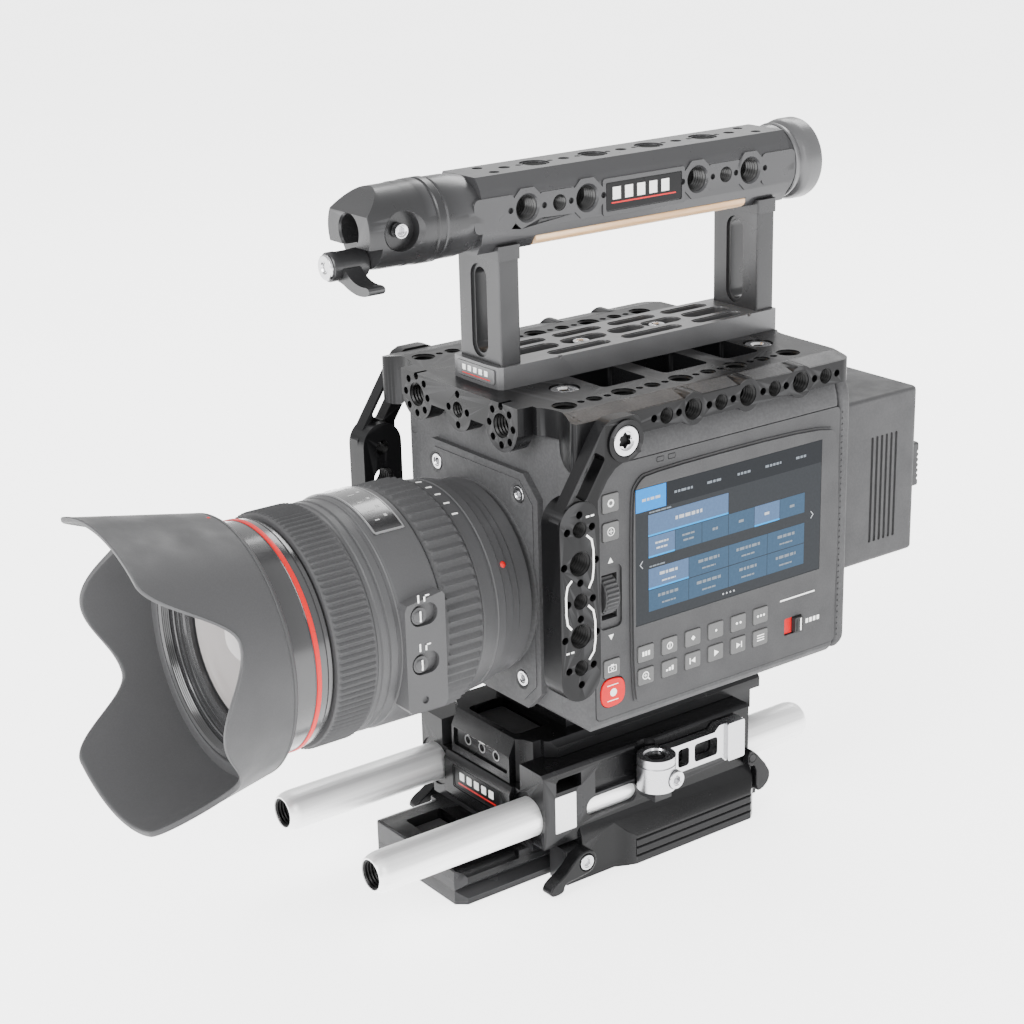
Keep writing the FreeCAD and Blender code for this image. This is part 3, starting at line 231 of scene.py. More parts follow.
def wood_material(name):
    """Pale oiled wood with bands and fine pores along the grip."""
    m = Nodes(name)
    wave = m.add("ShaderNodeTexWave", Scale=1.0, Distortion=3.5, Detail=3.0, wave_type="BANDS",
                 bands_direction="X")
    m.link(m.coords((160, 14, 160)), wave.inputs["Vector"])
    rings = m.ramp(wave.outputs["Fac"], [(0.1, linear("c79f74")), (0.55, linear("dcb78f")),
                                         (0.95, linear("e6c8a4"))])
    pores = m.noise(1.0, 3, (1200, 90, 1200))
    m.link(m.mix(m.span(pores, 0.0, 0.35, 0.5, 0.7), rings, linear("a87c50")), m.shader.inputs["Base Color"])
    m.set(Roughness=0.5)
    m.bump(pores, 0.3, 0.0001)
    return m.material


# The finishes by key. A colour is the piece's own under white light, except for painted light: the highlight
# that edge paints on sharp edges, the painted reflections of the two glasses, and the handle grey painted
# lighter for the foot and end cap.
MATERIAL = {
    "anodised": surface("anodised_black", "0c0c0d", 0.3, metal=0.04, vary=0.12, grain=2600, edge=0.55,
                        speckle=0.18, specular=0.13),
    "anodised_grain": surface("anodised_grain", "2c2c2d", 0.46, metal=0.4, vary=0.15, grain=1300, bump=0.6,
                              depth=0.0001, speckle=0.7),
    "handle": surface("handle_grey", "2b2b2c", 0.3, metal=0.35, vary=0.07, grain=2600, bump=0.2, edge=0.5,
                      speckle=0.06),
    # The handle's own grey painted lighter, as painted light, so the foot and end cap look more brightly lit;
    # its edges also get the painted highlight.
    "handle_painted_lighter": surface("handle_painted_lighter", "525253", 0.32, metal=0.35, vary=0.07, grain=2600, bump=0.2,
                           edge=0.4, speckle=0.06),
    "bore": surface("thread_dark", "131313", 0.35, metal=0.7, vary=0.2, grain=3000, bump=0.2),
    "handle_bore": surface("handle_thread", "404040", 0.25, metal=0.8, vary=0.12, grain=3000, bump=0.2),
    "clamp_pad": surface("clamp_pad", "dcdcdd", 0.4, metal=0.85, vary=0.04, grain=1500, bump=0.25,
                         speckle=0.05),
    "rod": brushed("polished_rod", "fdfdfd", 0.4, metal=0.6, strength=0.12),
    "steel": surface("bright_steel", "bdbdbf", 0.27, metal=1.0, vary=0.04, grain=1900, bump=0.12,
                     speckle=0.05),
    "screw": brushed("screw_steel", "c4c4c6", 0.2, "x"),
    "body": surface("camera_composite", "404041", 0.62, grain=900, bump=0.55, depth=0.00011, speckle=0.16,
                    specular=0.25),
    "panel": surface("panel_composite", "3a3a3b", 0.58, vary=0.04, grain=1400, bump=0.4, depth=0.00008,
                     speckle=0.1, specular=0.25),
    "bezel": surface("panel_bezel", "353536", 0.5, vary=0.04, grain=1700, speckle=0.06, specular=0.25),
    "battery": surface("battery_composite", "3e3e3f", 0.58, grain=1100, bump=0.4, depth=0.00008,
                       speckle=0.1, specular=0.25),
    "lens": surface("lens_satin", "444445", 0.45, grain=2200, depth=0.00004, speckle=0.07, specular=0.25),
    "rubber": surface("ring_rubber", "424243", 0.7, vary=0.06, grain=1400, bump=0.4, speckle=0.1,
                      specular=0.25),
    "hood": surface("hood_matte", "414142", 0.52, grain=1900, bump=0.35, depth=0.00005, speckle=0.07,
                    specular=0.25),
    "hood_inside": surface("hood_flock", "3a3a3b", 0.85, vary=0.06, grain=1300, bump=0.6, depth=0.0001,
                           speckle=0.15),
    "key": surface("key_plastic", "595959", 0.55, vary=0.04, grain=1600, depth=0.00005, speckle=0.06,
                   specular=0.25),
    "record": surface("record_red", "c8000e", 0.5, grain=1600, depth=0.00005, speckle=0.05, specular=0.2),
    "red_ring": surface("red_ring", "c4060a", 0.4, grain=1600, bump=0.2, depth=0.00004, speckle=0.05,
                        specular=0.3),
    "white_print": surface("white_print", "eeeeec", 0.6, vary=0.03, grain=1200, bump=0.2, depth=0.00003,
                           speckle=0.03),
    "grey_print": surface("grey_print", "a7a7a7", 0.6, vary=0.03, grain=1200, bump=0.2, depth=0.00003,
                          speckle=0.03),
    "dark": surface("dark_gap", "121212", 0.7, vary=0.1, grain=1000),
    "board": surface("board_green", "14462e", 0.4, vary=0.1, grain=700, bump=0.4, speckle=0.2),
    "fan": surface("fan_plastic", "1f1f1f", 0.5, vary=0.08, grain=1200),
    "wood": wood_material("grip_wood"),
    "glass": clear_glass("lens_glass"),
    "inner_glass": coated_glass_painted_reflection("inner_glass"),
    "gloss_lens": surface("lens_gloss", "353536", 0.16, metal=0.2, grain=2400, bump=0.12, depth=0.00003,
                          coat=0.4),
    "baffle": surface("lens_baffle", "1b1b1c", 0.42, vary=0.12, grain=1800, depth=0.00004),
    "window": surface("window_plastic", "1d1d1e", 0.12, vary=0.06, grain=900, bump=0.05, coat=0.8),
    "rim_grey": surface("rim_grey", "808081", 0.35, metal=0.3, grain=1500, bump=0.2),
    "label": surface("label_plate", "656566", 0.38, metal=0.5, grain=1900, bump=0.2, speckle=0.05),
    "base_metal": surface("base_anodised", "0e0e0f", 0.24, metal=0.05, vary=0.12, grain=2200, edge=0.5,
                          speckle=0.2, specular=0.18),
    "screen": lit("screen_back", "43474c", 0.33),
    "screen_bar": lit("screen_header", "2c3036", 0.35),
    "tab": lit("screen_tab", "0092ee", 1.25),
    "tile": lit("screen_tile", "486886", 0.6),
    "tile_on": lit("screen_tile_chosen", "6482ac", 0.75),
    "underline": lit("screen_underline", "00a4f4", 1.3),
    "screen_text": lit("screen_text", "dfe3e8", 0.9),
    "screen_dim": lit("screen_text_dim", "9aa3ad", 0.7),
    "lock_red": surface("lock_red", "c4000e", 0.5, grain=1500, bump=0.2, depth=0.00004, specular=0.2),
}
# The finish of a CAD node that is shown as it is, by its material slot.
FINISH = {
    "anodised_black": "anodised", "polished_rod": "rod", "bright_metal": "steel", "screw_steel": "screw",
    "camera_composite": "body", "lens_black": "lens", "ring_rubber": "rubber", "key_plastic": "key",
    "record_red": "record", "screen_face": "dark", "lens_glass": "glass", "grip_wood": "wood",
    "board": "board", "fan_plastic": "fan",
}


# ---- meshes ----

def new_object(name, mesh):
    thing = bpy.data.objects.new(name, mesh)
    bpy.context.scene.collection.objects.link(thing)
    return thing


def from_data(name, verts, faces):
    """An object from vertices in millimetres."""
    mesh = bpy.data.meshes.new(name)
    mesh.from_pydata([Vector(v) * MM for v in verts], [], faces)
    mesh.validate()
    thing = new_object(name, mesh)
    outward(thing)
    return thing


def outward(thing):
    """Turns every face to point out of its shape."""
    bm = bmesh.new()
    bm.from_mesh(thing.data)
    bmesh.ops.recalc_face_normals(bm, faces=bm.faces)
    bm.to_mesh(thing.data)
    bm.free()


def lift(plane, u, v, w):
    """A point of an outline on a plane, w along the plane's axis."""
    return {"xy": (u, v, w), "xz": (u, w, v), "yz": (w, u, v)}[plane]


def prism(name, plane, outline, low, high):
    """An outline on a plane, drawn out from low to high along the plane's axis."""
    count = len(outline)
    verts = [lift(plane, u, v, w) for w in (low, high) for u, v in outline]
    faces = [list(range(count)), list(range(2 * count - 1, count - 1, -1))]
    faces += [[i, (i + 1) % count, count + (i + 1) % count, count + i] for i in range(count)]
    return from_data(name, verts, faces)


def box(name, x, y, z):
    """A block between two planes on each axis."""
    x, y, z = sorted(x), sorted(y), sorted(z)
    return prism(name, "xy", [(x[0], y[0]), (x[1], y[0]), (x[1], y[1]), (x[0], y[1])], z[0], z[1])


def circle(radius, u=0.0, v=0.0, count=48, start=0.0, turn=2 * math.pi):
    """Points round a circle, or round a part of one."""
    return [(u + radius * math.cos(start + turn * i / count), v + radius * math.sin(start + turn * i / count))
            for i in range(count)]


def rounded(low_u, high_u, low_v, high_v, radius, steps=6):
    """The outline of a rectangle with round corners."""
    points = []
    for cu, cv, start in ((high_u - radius, high_v - radius, 0), (low_u + radius, high_v - radius, 90),
                          (low_u + radius, low_v + radius, 180), (high_u - radius, low_v + radius, 270)):
        for i in range(steps + 1):
            a = math.radians(start + 90 * i / steps)
            points.append((cu + radius * math.cos(a), cv + radius * math.sin(a)))
    return points


def obround(low, high, half, level, steps=12):
    """A slot's outline: along the first axis from low to high between round centres."""
    points = []
    for centre, start in ((high, -90), (low, 90)):
        for i in range(steps + 1):
            a = math.radians(start + 180 * i / steps)
            points.append((centre + half * math.cos(a), level + half * math.sin(a)))
    return points


def reach(side, near, far):
    """The span between two distances from the middle, on one side of it."""
    return sorted((side * near, side * far))


PLANE_OF = {"x": "yz", "y": "xz", "z": "xy"}


def rod(name, axis, radius, low, high, at, count=48):
    """A cylinder along an axis, at its other two coordinates."""
    return prism(name, PLANE_OF[axis], circle(radius, *at, count=count), low, high)


def revolved(name, profile, centre, axis="y", count=128, start=0.0, turn=360.0):
    """A profile of (level, radius) turned about an axis through centre (the other two coordinates)."""
    plane = PLANE_OF[axis]
    whole = abs(turn - 360) < 1e-6
    steps = count if whole else count + 1
    verts, index = [], []
    for i in range(steps):
        a = math.radians(start + turn * i / count)
        index.append([])
        for level, radius in profile:
            if radius < 1e-9 and i and whole:
                index[-1].append(index[0][len(index[-1])])
                continue
            index[-1].append(len(verts))
            u, v = centre[0] + radius * math.cos(a), centre[1] + radius * math.sin(a)
            verts.append(lift(plane, u, v, level))
    faces = []
    size = len(profile)
    for i in range(count):
        here, there = index[i], index[(i + 1) % steps]
        for j in range(size):
            k = (j + 1) % size
            face = []
            for vertex in (here[j], here[k], there[k], there[j]):
                if vertex not in face:
                    face.append(vertex)
            if len(face) > 2:
                faces.append(face)
    if not whole:
        faces += [index[0][::-1], index[-1][:]]
    return from_data(name, verts, faces)


def applied(thing):
    """Bakes a working object's modifiers into its mesh."""
    bpy.context.view_layer.update()
    mesh = bpy.data.meshes.new_from_object(thing.evaluated_get(bpy.context.evaluated_depsgraph_get()))
    old = thing.data
    thing.modifiers.clear()
    thing.data = mesh
    bpy.data.meshes.remove(old)
    return thing


def merged(things, name):
    """Several meshes as one object."""
    bm = bmesh.new()
    materials = []
    for thing in things:
        before = len(bm.faces)
        bm.from_mesh(thing.data)
        bm.faces.ensure_lookup_table()
        shift = len(materials)
        slots = list(thing.data.materials)
        materials += slots
        if slots:
            for face in bm.faces[before:]:
                face.material_index += shift
    mesh = bpy.data.meshes.new(name)
    bm.to_mesh(mesh)
    bm.free()
    for material in materials:
        mesh.materials.append(material)
    for thing in things:
        bpy.data.objects.remove(thing)
    return new_object(name, mesh)


def boolean(base, tools, operation="DIFFERENCE", overlap=True):
    """Cuts or joins tools with a base shape."""
    if not tools:
        return base
    tool = merged(tools, "tool") if len(tools) > 1 else tools[0]
    modifier = base.modifiers.new("boolean", "BOOLEAN")
    modifier.operation = operation
    modifier.solver = "EXACT"
    modifier.use_self = overlap
    modifier.object = tool
    applied(base)
    bpy.data.objects.remove(tool)
    return base


def tidied(thing, angle=0.4):
    """Joins doubled points and flat neighbouring faces."""
    bm = bmesh.new()
    bm.from_mesh(thing.data)
    bmesh.ops.remove_doubles(bm, verts=bm.verts, dist=2e-6)
    bmesh.ops.dissolve_limit(bm, angle_limit=math.radians(angle), verts=bm.verts, edges=bm.edges)
    bmesh.ops.recalc_face_normals(bm, faces=bm.faces)
    bm.to_mesh(thing.data)
    bm.free()
    return thing


def smooth(thing, angle=32.0):
    """Smooth shading with sharp edges above an angle."""
    mesh = thing.data
    bm = bmesh.new()
    bm.from_mesh(mesh)
    limit = math.radians(angle)
    for face in bm.faces:
        face.smooth = True
    for edge in bm.edges:
        edge.smooth = len(edge.link_faces) == 2 and edge.calc_face_angle(0) < limit
    bm.to_mesh(mesh)
    bm.free()
    modifier = thing.modifiers.new("weighted", "WEIGHTED_NORMAL")
    modifier.mode = "FACE_AREA"
    modifier.weight = 50
    modifier.keep_sharp = True
    applied(thing)
    return thing


def bevelled(thing, width, segments=2, angle=30.0):
    """Softens the hard edges and shades the result."""
    tidied(thing)
    modifier = thing.modifiers.new("bevel", "BEVEL")
    modifier.width = width * MM
    modifier.segments = segments
    modifier.limit_method = "ANGLE"
    modifier.angle_limit = math.radians(angle)
    modifier.use_clamp_overlap = True
    modifier.miter_outer = "MITER_ARC"
    modifier.harden_normals = False
    applied(thing)
    return smooth(thing, 38)


def painted(thing, *keys):
    """Gives a piece its finishes, in the order of its material slots."""
    thing.data.materials.clear()
    for key in keys:
        thing.data.materials.append(MATERIAL[key])
    return thing


def attach(thing, node, key=None):
    """Makes a finished piece ride with the body of a CAD node."""
    if key:
        painted(thing, key)
    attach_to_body(thing, BODY_OF[node])


def place(thing, node, key=None):
    """Attaches the piece that stands for a CAD node and hides the node itself."""
    attach(thing, node, key)
    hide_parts(node)
    replaced.add(node)


def copy_of(node, name):
    """A working copy of a CAD node's mesh."""
    return new_object(name, NODES[node].data.copy())


def mirror_copy(thing, name):
    """A copy on the other side of the plane X = 0."""
    mesh = thing.data.copy()
    mesh.transform(Matrix.Scale(-1, 4, (1, 0, 0)))
    mesh.flip_normals()
    if "custom_normal" in mesh.attributes:
        mesh.attributes.remove(mesh.attributes["custom_normal"])
    return smooth(new_object(name, mesh), 38)


# ---- lens ----

LENS = (0.0, 113.5)


def around(radius, angle, y):
    """A point about the lens axis, the angle in degrees from +X towards +Z."""
    a = math.radians(angle)
    return (radius * math.cos(a), y, LENS[1] + radius * math.sin(a))


def ribbed(name, profile, ribs, rise, first, last):
    """A turned ring whose profile points first..last are lowered between the ribs."""
    samples = (0.0, 0.12, 0.38, 0.5, 0.62, 0.88)
    shares = (0.5, 0.0, 0.5, 1.0, 1.0, 1.0)
    angles = [2 * math.pi * (i + s) / ribs for i in range(ribs) for s in samples]
    drops = [rise * share for share in shares] * ribs
    verts, faces = [], []
    size = len(profile)
    for a, drop in zip(angles, drops):
        for j, (y, radius) in enumerate(profile):
            r = radius - (drop if first <= j <= last else 0.0)
            verts.append((r * math.cos(a), y, LENS[1] + r * math.sin(a)))
    count = len(angles)
    for i in range(count):
        for j in range(size):
            k = (j + 1) % size
            n = (i + 1) % count
            faces.append([i * size + j, i * size + k, n * size + k, n * size + j])
    return from_data(name, verts, faces)


def make_rings():
    """The zoom ring with broad ribs and the focus ring with fine ones."""
    bore, crest = 36.3, 42.0
    zoom = [(-70.6, bore), (-70.6, 40.2), (-71.4, 41.0), (-71.9, 41.0), (-72.4, 41.9), (-73.2, crest),
            (-84.4, crest), (-85.2, 41.9), (-85.5, 40.9), (-86.6, 40.7), (-87.0, 40.3), (-87.0, bore)]
    first_rib, last_rib = 4, 7
    ring = smooth(ribbed("zoom_grip", zoom, 64, 1.15, first_rib, last_rib), 50)
    place(ring, "zoom_ring", "rubber")
    focus = [(-114.2, bore), (-114.2, 40.9), (-114.8, 41.3), (-115.2, 41.3), (-115.6, 41.9), (-116.2, crest),
             (-128.6, crest), (-129.2, 41.9), (-129.5, 41.3), (-130.0, 41.2), (-130.4, 40.8), (-130.4, bore)]
    ring = smooth(ribbed("focus_grip", focus, 108, 0.8, first_rib, last_rib), 50)
    place(ring, "focus_ring", "rubber")


def petal_edge(angle):
    """Y of the hood's front edge at an angle about the lens axis."""
    side_tip, notch, long_tip, lower_tip = -177.7, -167.0, -195.0, -191.0
    notch_at, top_from, hood_turn = 33.0, 62.0, -9.0
    turned_back = math.degrees(angle) - hood_turn
    up = math.sin(math.radians(turned_back)) >= 0
    folded = math.degrees(math.asin(min(1.0, abs(math.sin(math.radians(turned_back))))))
    tip = long_tip if up else lower_tip
    if folded < notch_at:
        return side_tip + (notch - side_tip) * (1 - math.cos(math.pi * folded / notch_at)) / 2
    if folded < top_from:
        share = (folded - notch_at) / (top_from - notch_at)
        return notch + (tip - notch) * (1 - math.cos(math.pi * share)) / 2
    return tip


def make_hood():
    """The petal hood: a flared shell with a grip groove, and its alignment dot."""
    rear, ring_front = -147.3, -153.3
    radius, wall, flare = 45.4, 1.7, 0.19
    bore, step = 40.9, 41.9
    count, steps = 288, 26

    def outer(y):
        return radius + flare * (rear - y)

    verts, faces, inside = [], [], set()
    for i in range(count):
        a = 2 * math.pi * i / count
        edge = petal_edge(a)
        column = [(rear, bore), (rear, 44.5), (rear - 0.35, 45.1), (rear - 1.0, outer(rear - 1.0)),
                  (rear - 1.7, outer(rear - 1.7) + 0.02), (rear - 1.9, outer(rear - 1.9) - 0.22),
                  (rear - 2.3, outer(rear - 2.3) - 0.22), (rear - 2.5, outer(rear - 2.5))]
        start = rear - 2.5
        for j in range(1, steps + 1):
            y = start + (edge + 0.9 - start) * j / steps
            column.append((y, outer(y)))
        r = outer(edge)
        column += [(edge + 0.35, r + 0.12), (edge, r - 0.25), (edge, r - wall + 0.45),
                   (edge + 0.35, r - wall - 0.02)]
        first_inside = len(column) - 1
        for j in range(steps):
            y = edge + 0.9 + (ring_front - edge - 0.9) * j / (steps - 1)
            column.append((y, outer(y) - wall))
        column += [(ring_front, step), (ring_front + 0.4, 41.3), (ring_front + 1.0, bore)]
        size = len(column)
        verts += [(rr * math.cos(a), y, LENS[1] + rr * math.sin(a)) for y, rr in column]
    for i in range(count):
        for j in range(size):
            k = (j + 1) % size
            n = (i + 1) % count
            if first_inside <= j < size - 1:
                inside.add(len(faces))
            faces.append([i * size + j, i * size + k, n * size + k, n * size + j])
    mesh = bpy.data.meshes.new("hood")
    mesh.from_pydata([Vector(v) * MM for v in verts], [], faces)
    for number, polygon in enumerate(mesh.polygons):
        polygon.material_index = 1 if number in inside else 0
    hood = new_object("petal_hood", mesh)
    outward(hood)
    painted(hood, "hood", "hood_inside")
    smooth(hood, 40)
    place(hood, "lens_hood")
    dot = revolved("hood_mark", [(0.25, 0.0), (0.2, 0.45), (0.0, 0.7), (-0.3, 0.7), (-0.3, 0)],
                   (0.0, -151.6), "z", 24)
    dot.data.transform(Matrix.Translation(Vector((0, 0, LENS[1] + 46.2)) * MM))
    attach(smooth(dot), "lens_hood", "red_ring")


def make_front_barrel():
    """The barrel that moves out when the zoom ring turns, with the filter thread and red band."""
    radius, bore, lip = 40.6, 30.6, -152.9
    profile = [(-88.0, bore), (-88.0, 32.7), (-131.0, 32.7), (-131.0, 39.4), (-131.4, 40.0), (-133.0, 40.3),
               (-133.2, 40.0), (-133.5, 40.0), (-133.7, 40.4), (-135.9, radius), (-137.9, radius),
               (-138.1, 40.4), (-138.3, radius), (-147.6, radius), (lip, radius), (-153.5, 39.9),
               (-153.5, 39.2), (-153.2, 38.7)]
    y, filter_pitch, filter_end = lip, 0.7, -149.6
    while y < filter_end:
        profile += [(y, 38.2), (y + filter_pitch / 2, 38.55)]
        y += filter_pitch
    profile += [(-149.5, 37.6), (-149.5, 36.4), (-149.2, 36.0), (-148.6, 36.0), (-148.4, 34.8),
                (-148.0, 34.6), (-147.6, 34.6), (-147.4, 33.2), (-146.8, 32.9), (-146.3, bore)]
    barrel = smooth(revolved("front_barrel_body", profile, LENS, count=192), 28)
    painted(barrel, "gloss_lens")
    place(barrel, "front_barrel")
    ring = revolved("red_band", [(-137.8, 40.2), (-137.8, 40.75), (-137.6, 40.95), (-136.2, 40.95),
                                 (-136.0, 40.75), (-136.0, 40.2)], LENS, count=192)
    attach(smooth(ring, 50), "front_barrel", "red_ring")


def make_front_glass():
    """A stepped baffle, the glass at its bottom and the front glass ahead of it."""
    steps = []
    radius, level = 30.4, -144.6
    steps += [(level + 3.0, radius), (level, radius)]
    for i in range(7):
        nearer = radius - 2.35
        steps += [(level, nearer + 0.5), (level + 0.25, nearer), (level + 1.6 + 0.15 * i, nearer - 0.1)]
        radius, level = nearer - 0.1, level + 1.6 + 0.15 * i
    steps += [(level + 2.0, radius), (level + 4.0, 30.4)]
    baffle = smooth(revolved("glass_baffle", steps, LENS, count=128), 25)
    attach(baffle, "front_barrel", "baffle")
    inner = [(level + 0.9, 0.0)]
    for i in range(1, 9):
        share = i / 8
        inner.append((level + 0.9 + 2.6 * share * share, (radius + 0.2) * share))
    inner += [(level + 5.0, radius + 0.2), (level + 5.0, 0.0)]
    glass = smooth(revolved("inner_glass", inner, LENS, count=96), 60)
    attach(glass, "front_element", "inner_glass")
    dome = []
    for i in range(13):
        share = i / 12
        dome.append((-147.2 + 2.8 * share * share, 30.5 * share))
    dome += [(-143.6, 30.5), (-143.4, 0.0)]
    front = smooth(revolved("front_glass", dome, LENS, count=128), 60)
    place(front, "front_element", "glass")


SWITCHES = (("focus_switch", 124.5), ("stabiliser_switch", 107.0))


def make_barrel():
    """The fixed barrel and the raised pad that carries the two switches."""
    profile = [(-47.0, 33.0), (-47.0, 36.0), (-47.4, 36.6), (-52.6, 36.7), (-53.0, 37.1), (-55.8, 37.4),
               (-56.2, 37.9), (-59.6, 38.5), (-60.0, 38.9), (-63.4, 39.3), (-63.8, 39.0), (-64.4, 39.0),
               (-64.8, 39.5), (-69.4, 40.0), (-70.3, 39.8), (-70.3, 36.0), (-87.3, 36.0), (-87.3, 41.0),
               (-87.9, 41.7), (-88.4, 41.8), (-103.4, 41.6), (-104.0, 41.3), (-104.6, 41.3), (-104.9, 40.9),
               (-106.2, 40.9), (-106.5, 41.2), (-109.0, 41.2), (-109.3, 40.7), (-110.0, 40.7), (-110.3, 41.1),
               (-112.2, 41.1), (-112.6, 40.6), (-113.9, 40.6), (-113.9, 36.0), (-130.4, 36.0), (-130.4, 33.0)]
    barrel = revolved("lens_tube", profile, LENS, count=192)
    tools = []
    pad_face = 43.1
    for _, level in SWITCHES:
        tools.append(prism("well", "yz", rounded(-102.3, -91.4, level - 3.9, level + 3.9, 3.8), 41.2, 46))
    pad_outline = [(-104.4, 91.5), (-104.4, 127.0), (-103.4, 129.0), (-89.4, 131.0), (-88.3, 129.8),
                   (-88.3, 91.5), (-89.6, 89.6), (-103.0, 89.6)]
    pad = prism("pad", "yz", pad_outline, 30.0, pad_face)
    boolean(pad, [rod("hollow", "y", 40.4, -106, -87, LENS, 96)])
    boolean(pad, tools + [rod("dimple", "x", 1.3, 42.2, 45, (-97.5, 93.6), 24)])
    pad = bevelled(pad, 0.55, 3, 35)
    attach(pad, "lens_barrel", "lens")
    pad.name = "switch_pad"
    place(smooth(barrel, 28), "lens_barrel", "lens")


def arc_strip(name, front, rear, inner, outer, start, turn, count):
    """A strip of a tube about the lens axis."""
    section = [(front, inner), (front, outer), (rear, outer), (rear, inner)]
    return revolved(name, section, LENS, count=count, start=start, turn=turn)


def make_distance_window():
    """The window on top of the barrel, its frame and the marks inside."""
    front, rear, rim_width = -102.1, -90.2, 0.45
    rim = (41.5, 42.2)
    print_band = (42.1, 42.22)
    pane = [(-101.6, 41.4), (-101.6, 42.06), (-101.3, 42.14), (-91.0, 42.14), (-90.7, 42.06), (-90.7, 41.4)]
    floor = revolved("distance_window", pane, LENS, count=40, start=57.5, turn=65)
    attach(smooth(floor, 40), "lens_barrel", "window")
    sides = [arc_strip("rim", y, y + rim_width, *rim, 56.5, 67, 40) for y in (front, -90.6)]
    sides += [arc_strip("rim", front, rear, *rim, start, 0.9, 3) for start in (56.5, 122.6)]
    attach(smooth(merged(sides, "window_rim"), 40), "lens_barrel", "rim_grey")
    ticks = []
    for i, angle in enumerate((64, 71, 79, 88, 98, 109, 116)):
        wide = 2.6 if i % 2 else 1.7
        ticks.append(arc_strip("tick", -98.6, -98.6 + wide, *print_band, angle, 0.7, 2))
        ticks.append(arc_strip("tick", -94.2, -94.2 + 1.1, *print_band, angle + 1.5, 1.6, 2))
    attach(merged(ticks, "distance_marks"), "lens_barrel", "grey_print")


def make_mount_dot():
    """The red dome that shows how the lens goes into its mount."""
    dome = [(0.9, 0.0), (0.75, 0.7), (0.35, 1.15), (0.0, 1.25), (-0.8, 1.25), (-0.8, 0)]
    dot = revolved("mount_dot", dome, (0, 0), "x", 24)
    dot.data.transform(Matrix.Rotation(-math.radians(26), 4, "Y"))
    dot.data.transform(Matrix.Translation(Vector(around(38.0, 26, -57.8)) * MM))
    attach(smooth(dot, 60), "lens_barrel", "red_ring")


def make_switches():
    """The two sliders in the pad's wells and the marks printed beside them."""
    for node, level in SWITCHES:
        slider = prism("slider", "yz", rounded(-101.9, -95.9, level - 3.0, level + 3.0, 2.9), 41.9, 43.2)
        dome = [(43.2, 2.0), (43.7, 1.9), (43.95, 1.5), (44.0, 0.0), (43.0, 0.0), (43.0, 2.0)]
        boolean(slider, [revolved("hump", dome, (-99.5, level), "x", 24)], "UNION")
        place(bevelled(slider, 0.25), node, "lens")
        mark = box("mark", (43.9, 44.05), (-99.15, -98.55), (level - 1.9, level + 1.9))
        mark.name = node + "_mark"
        attach(mark, node, "white_print")
        prints = [box("p", (43.0, 43.18), (-99.2, -98.6), (level + 4.6, level + 7.4)),
                  box("p", (43.0, 43.18), (-96.8, -96.2), (level + 4.6, level + 6.9)),
                  box("p", (43.0, 43.18), (-96.8, -94.6), (level + 6.4, level + 6.9))]
        attach(merged(prints, node + "_guide"), "lens_barrel", "white_print")


def make_zoom_scale():
    """The printed lines behind the zoom ring."""
    section = [(-69.0, 39.9), (-69.0, 40.12), (-66.6, 39.95), (-66.6, 39.7)]
    scale = [revolved("tick", section, LENS, count=2, start=angle, turn=0.9)
             for angle in (58, 66, 74, 82, 91, 101)]
    attach(merged(scale, "zoom_scale"), "lens_barrel", "white_print")


def make_rear_glass():
    """The rear glass and the cell that holds it."""
    rear = revolved("rear_glass", [(-62.0, 0.0), (-61.6, 8.0), (-60.6, 14.0), (-59.2, 20.0), (-56.2, 20.0),
                                   (-55.5, 8.0), (-55.3, 0.0)], LENS, count=64)
    place(smooth(rear, 60), "rear_element", "glass")
    cell = [(-64.0, 20.0), (-64.0, 33.9), (-52.0, 33.9), (-52.0, 20.0)]
    attach(smooth(revolved("rear_cell", cell, LENS, count=96)), "lens_barrel", "lens")


make_rings()
make_hood()
make_front_barrel()
make_front_glass()
make_barrel()
make_distance_window()
make_mount_dot()
make_switches()
make_zoom_scale()
make_rear_glass()


# ---- threads, screws and printed lines ----

def chaikin(points, times=2, closed=False):
    """Rounds the corners of a polyline."""
    for _ in range(times):
        count = len(points)
        result = [] if closed else [points[0]]
        for i in range(count if closed else count - 1):
            (au, av), (bu, bv) = points[i], points[(i + 1) % count]
            result += [(au * share + bu * (1 - share), av * share + bv * (1 - share))
                       for share in (0.75, 0.25)]
        points = result if closed else result + [points[-1]]
    return points


def thread(axis, sign, at, mouth, radius, depth, blind=True):
    """Thread rings lining a hole; sign is the way its mouth faces along the axis."""
    coarse, fine, coarse_from = 1.25, 1.0, 3.5
    pitch = coarse if radius > coarse_from else fine
    rise = pitch * 0.52
    start = mouth - sign * 0.42
    levels = [(start, radius + 0.03)]
    travel = 0.0
    while travel + pitch < depth - 0.5:
        levels.append((start - sign * travel, radius - 0.04))
        levels.append((start - sign * (travel + pitch * 0.42), radius - rise))
        levels.append((start - sign * (travel + pitch * 0.58), radius - rise))
        travel += pitch
    end = start - sign * travel
    if blind:
        floor = end - sign * 0.2
        levels += [(end, radius - rise), (end, 0.0), (floor, 0.0), (floor, radius + 0.03)]
    else:
        levels += [(end, radius - 0.04), (end, radius + 0.03)]
    return smooth(revolved("thread", levels, at, axis, 40), 20)


def star_points(radius, lobes=6):
    """The outline of a star socket."""
    points = []
    for i in range(lobes * 6):
        a = 2 * math.pi * i / (lobes * 6)
        lobed = radius * (0.86 + 0.14 * math.cos(lobes * a))
        points.append((lobed * math.cos(a), lobed * math.sin(a)))
    return points


def screw_shape(radius, height, socket, star=False, dish=0.0):
    """A screw head along +Z with its face at zero."""
    rim = radius * 0.08 + 0.12
    profile = [(-height, 0.0), (-height, radius), (-rim, radius), (-rim * 0.35, radius - rim * 0.3),
               (0.0, radius - rim), (0.0, socket + 0.5), (-dish - 0.25, socket + 0.1), (-dish - 0.25, 0.0)]
    head = revolved("head", profile, (0, 0), "z", 48)
    outline = star_points(socket) if star else circle(socket, count=6)
    boolean(head, [prism("socket", "xy", outline, -dish - 0.25 - height * 0.62, 1.0)], overlap=False)
    return bevelled(head, 0.06, 1, 35)


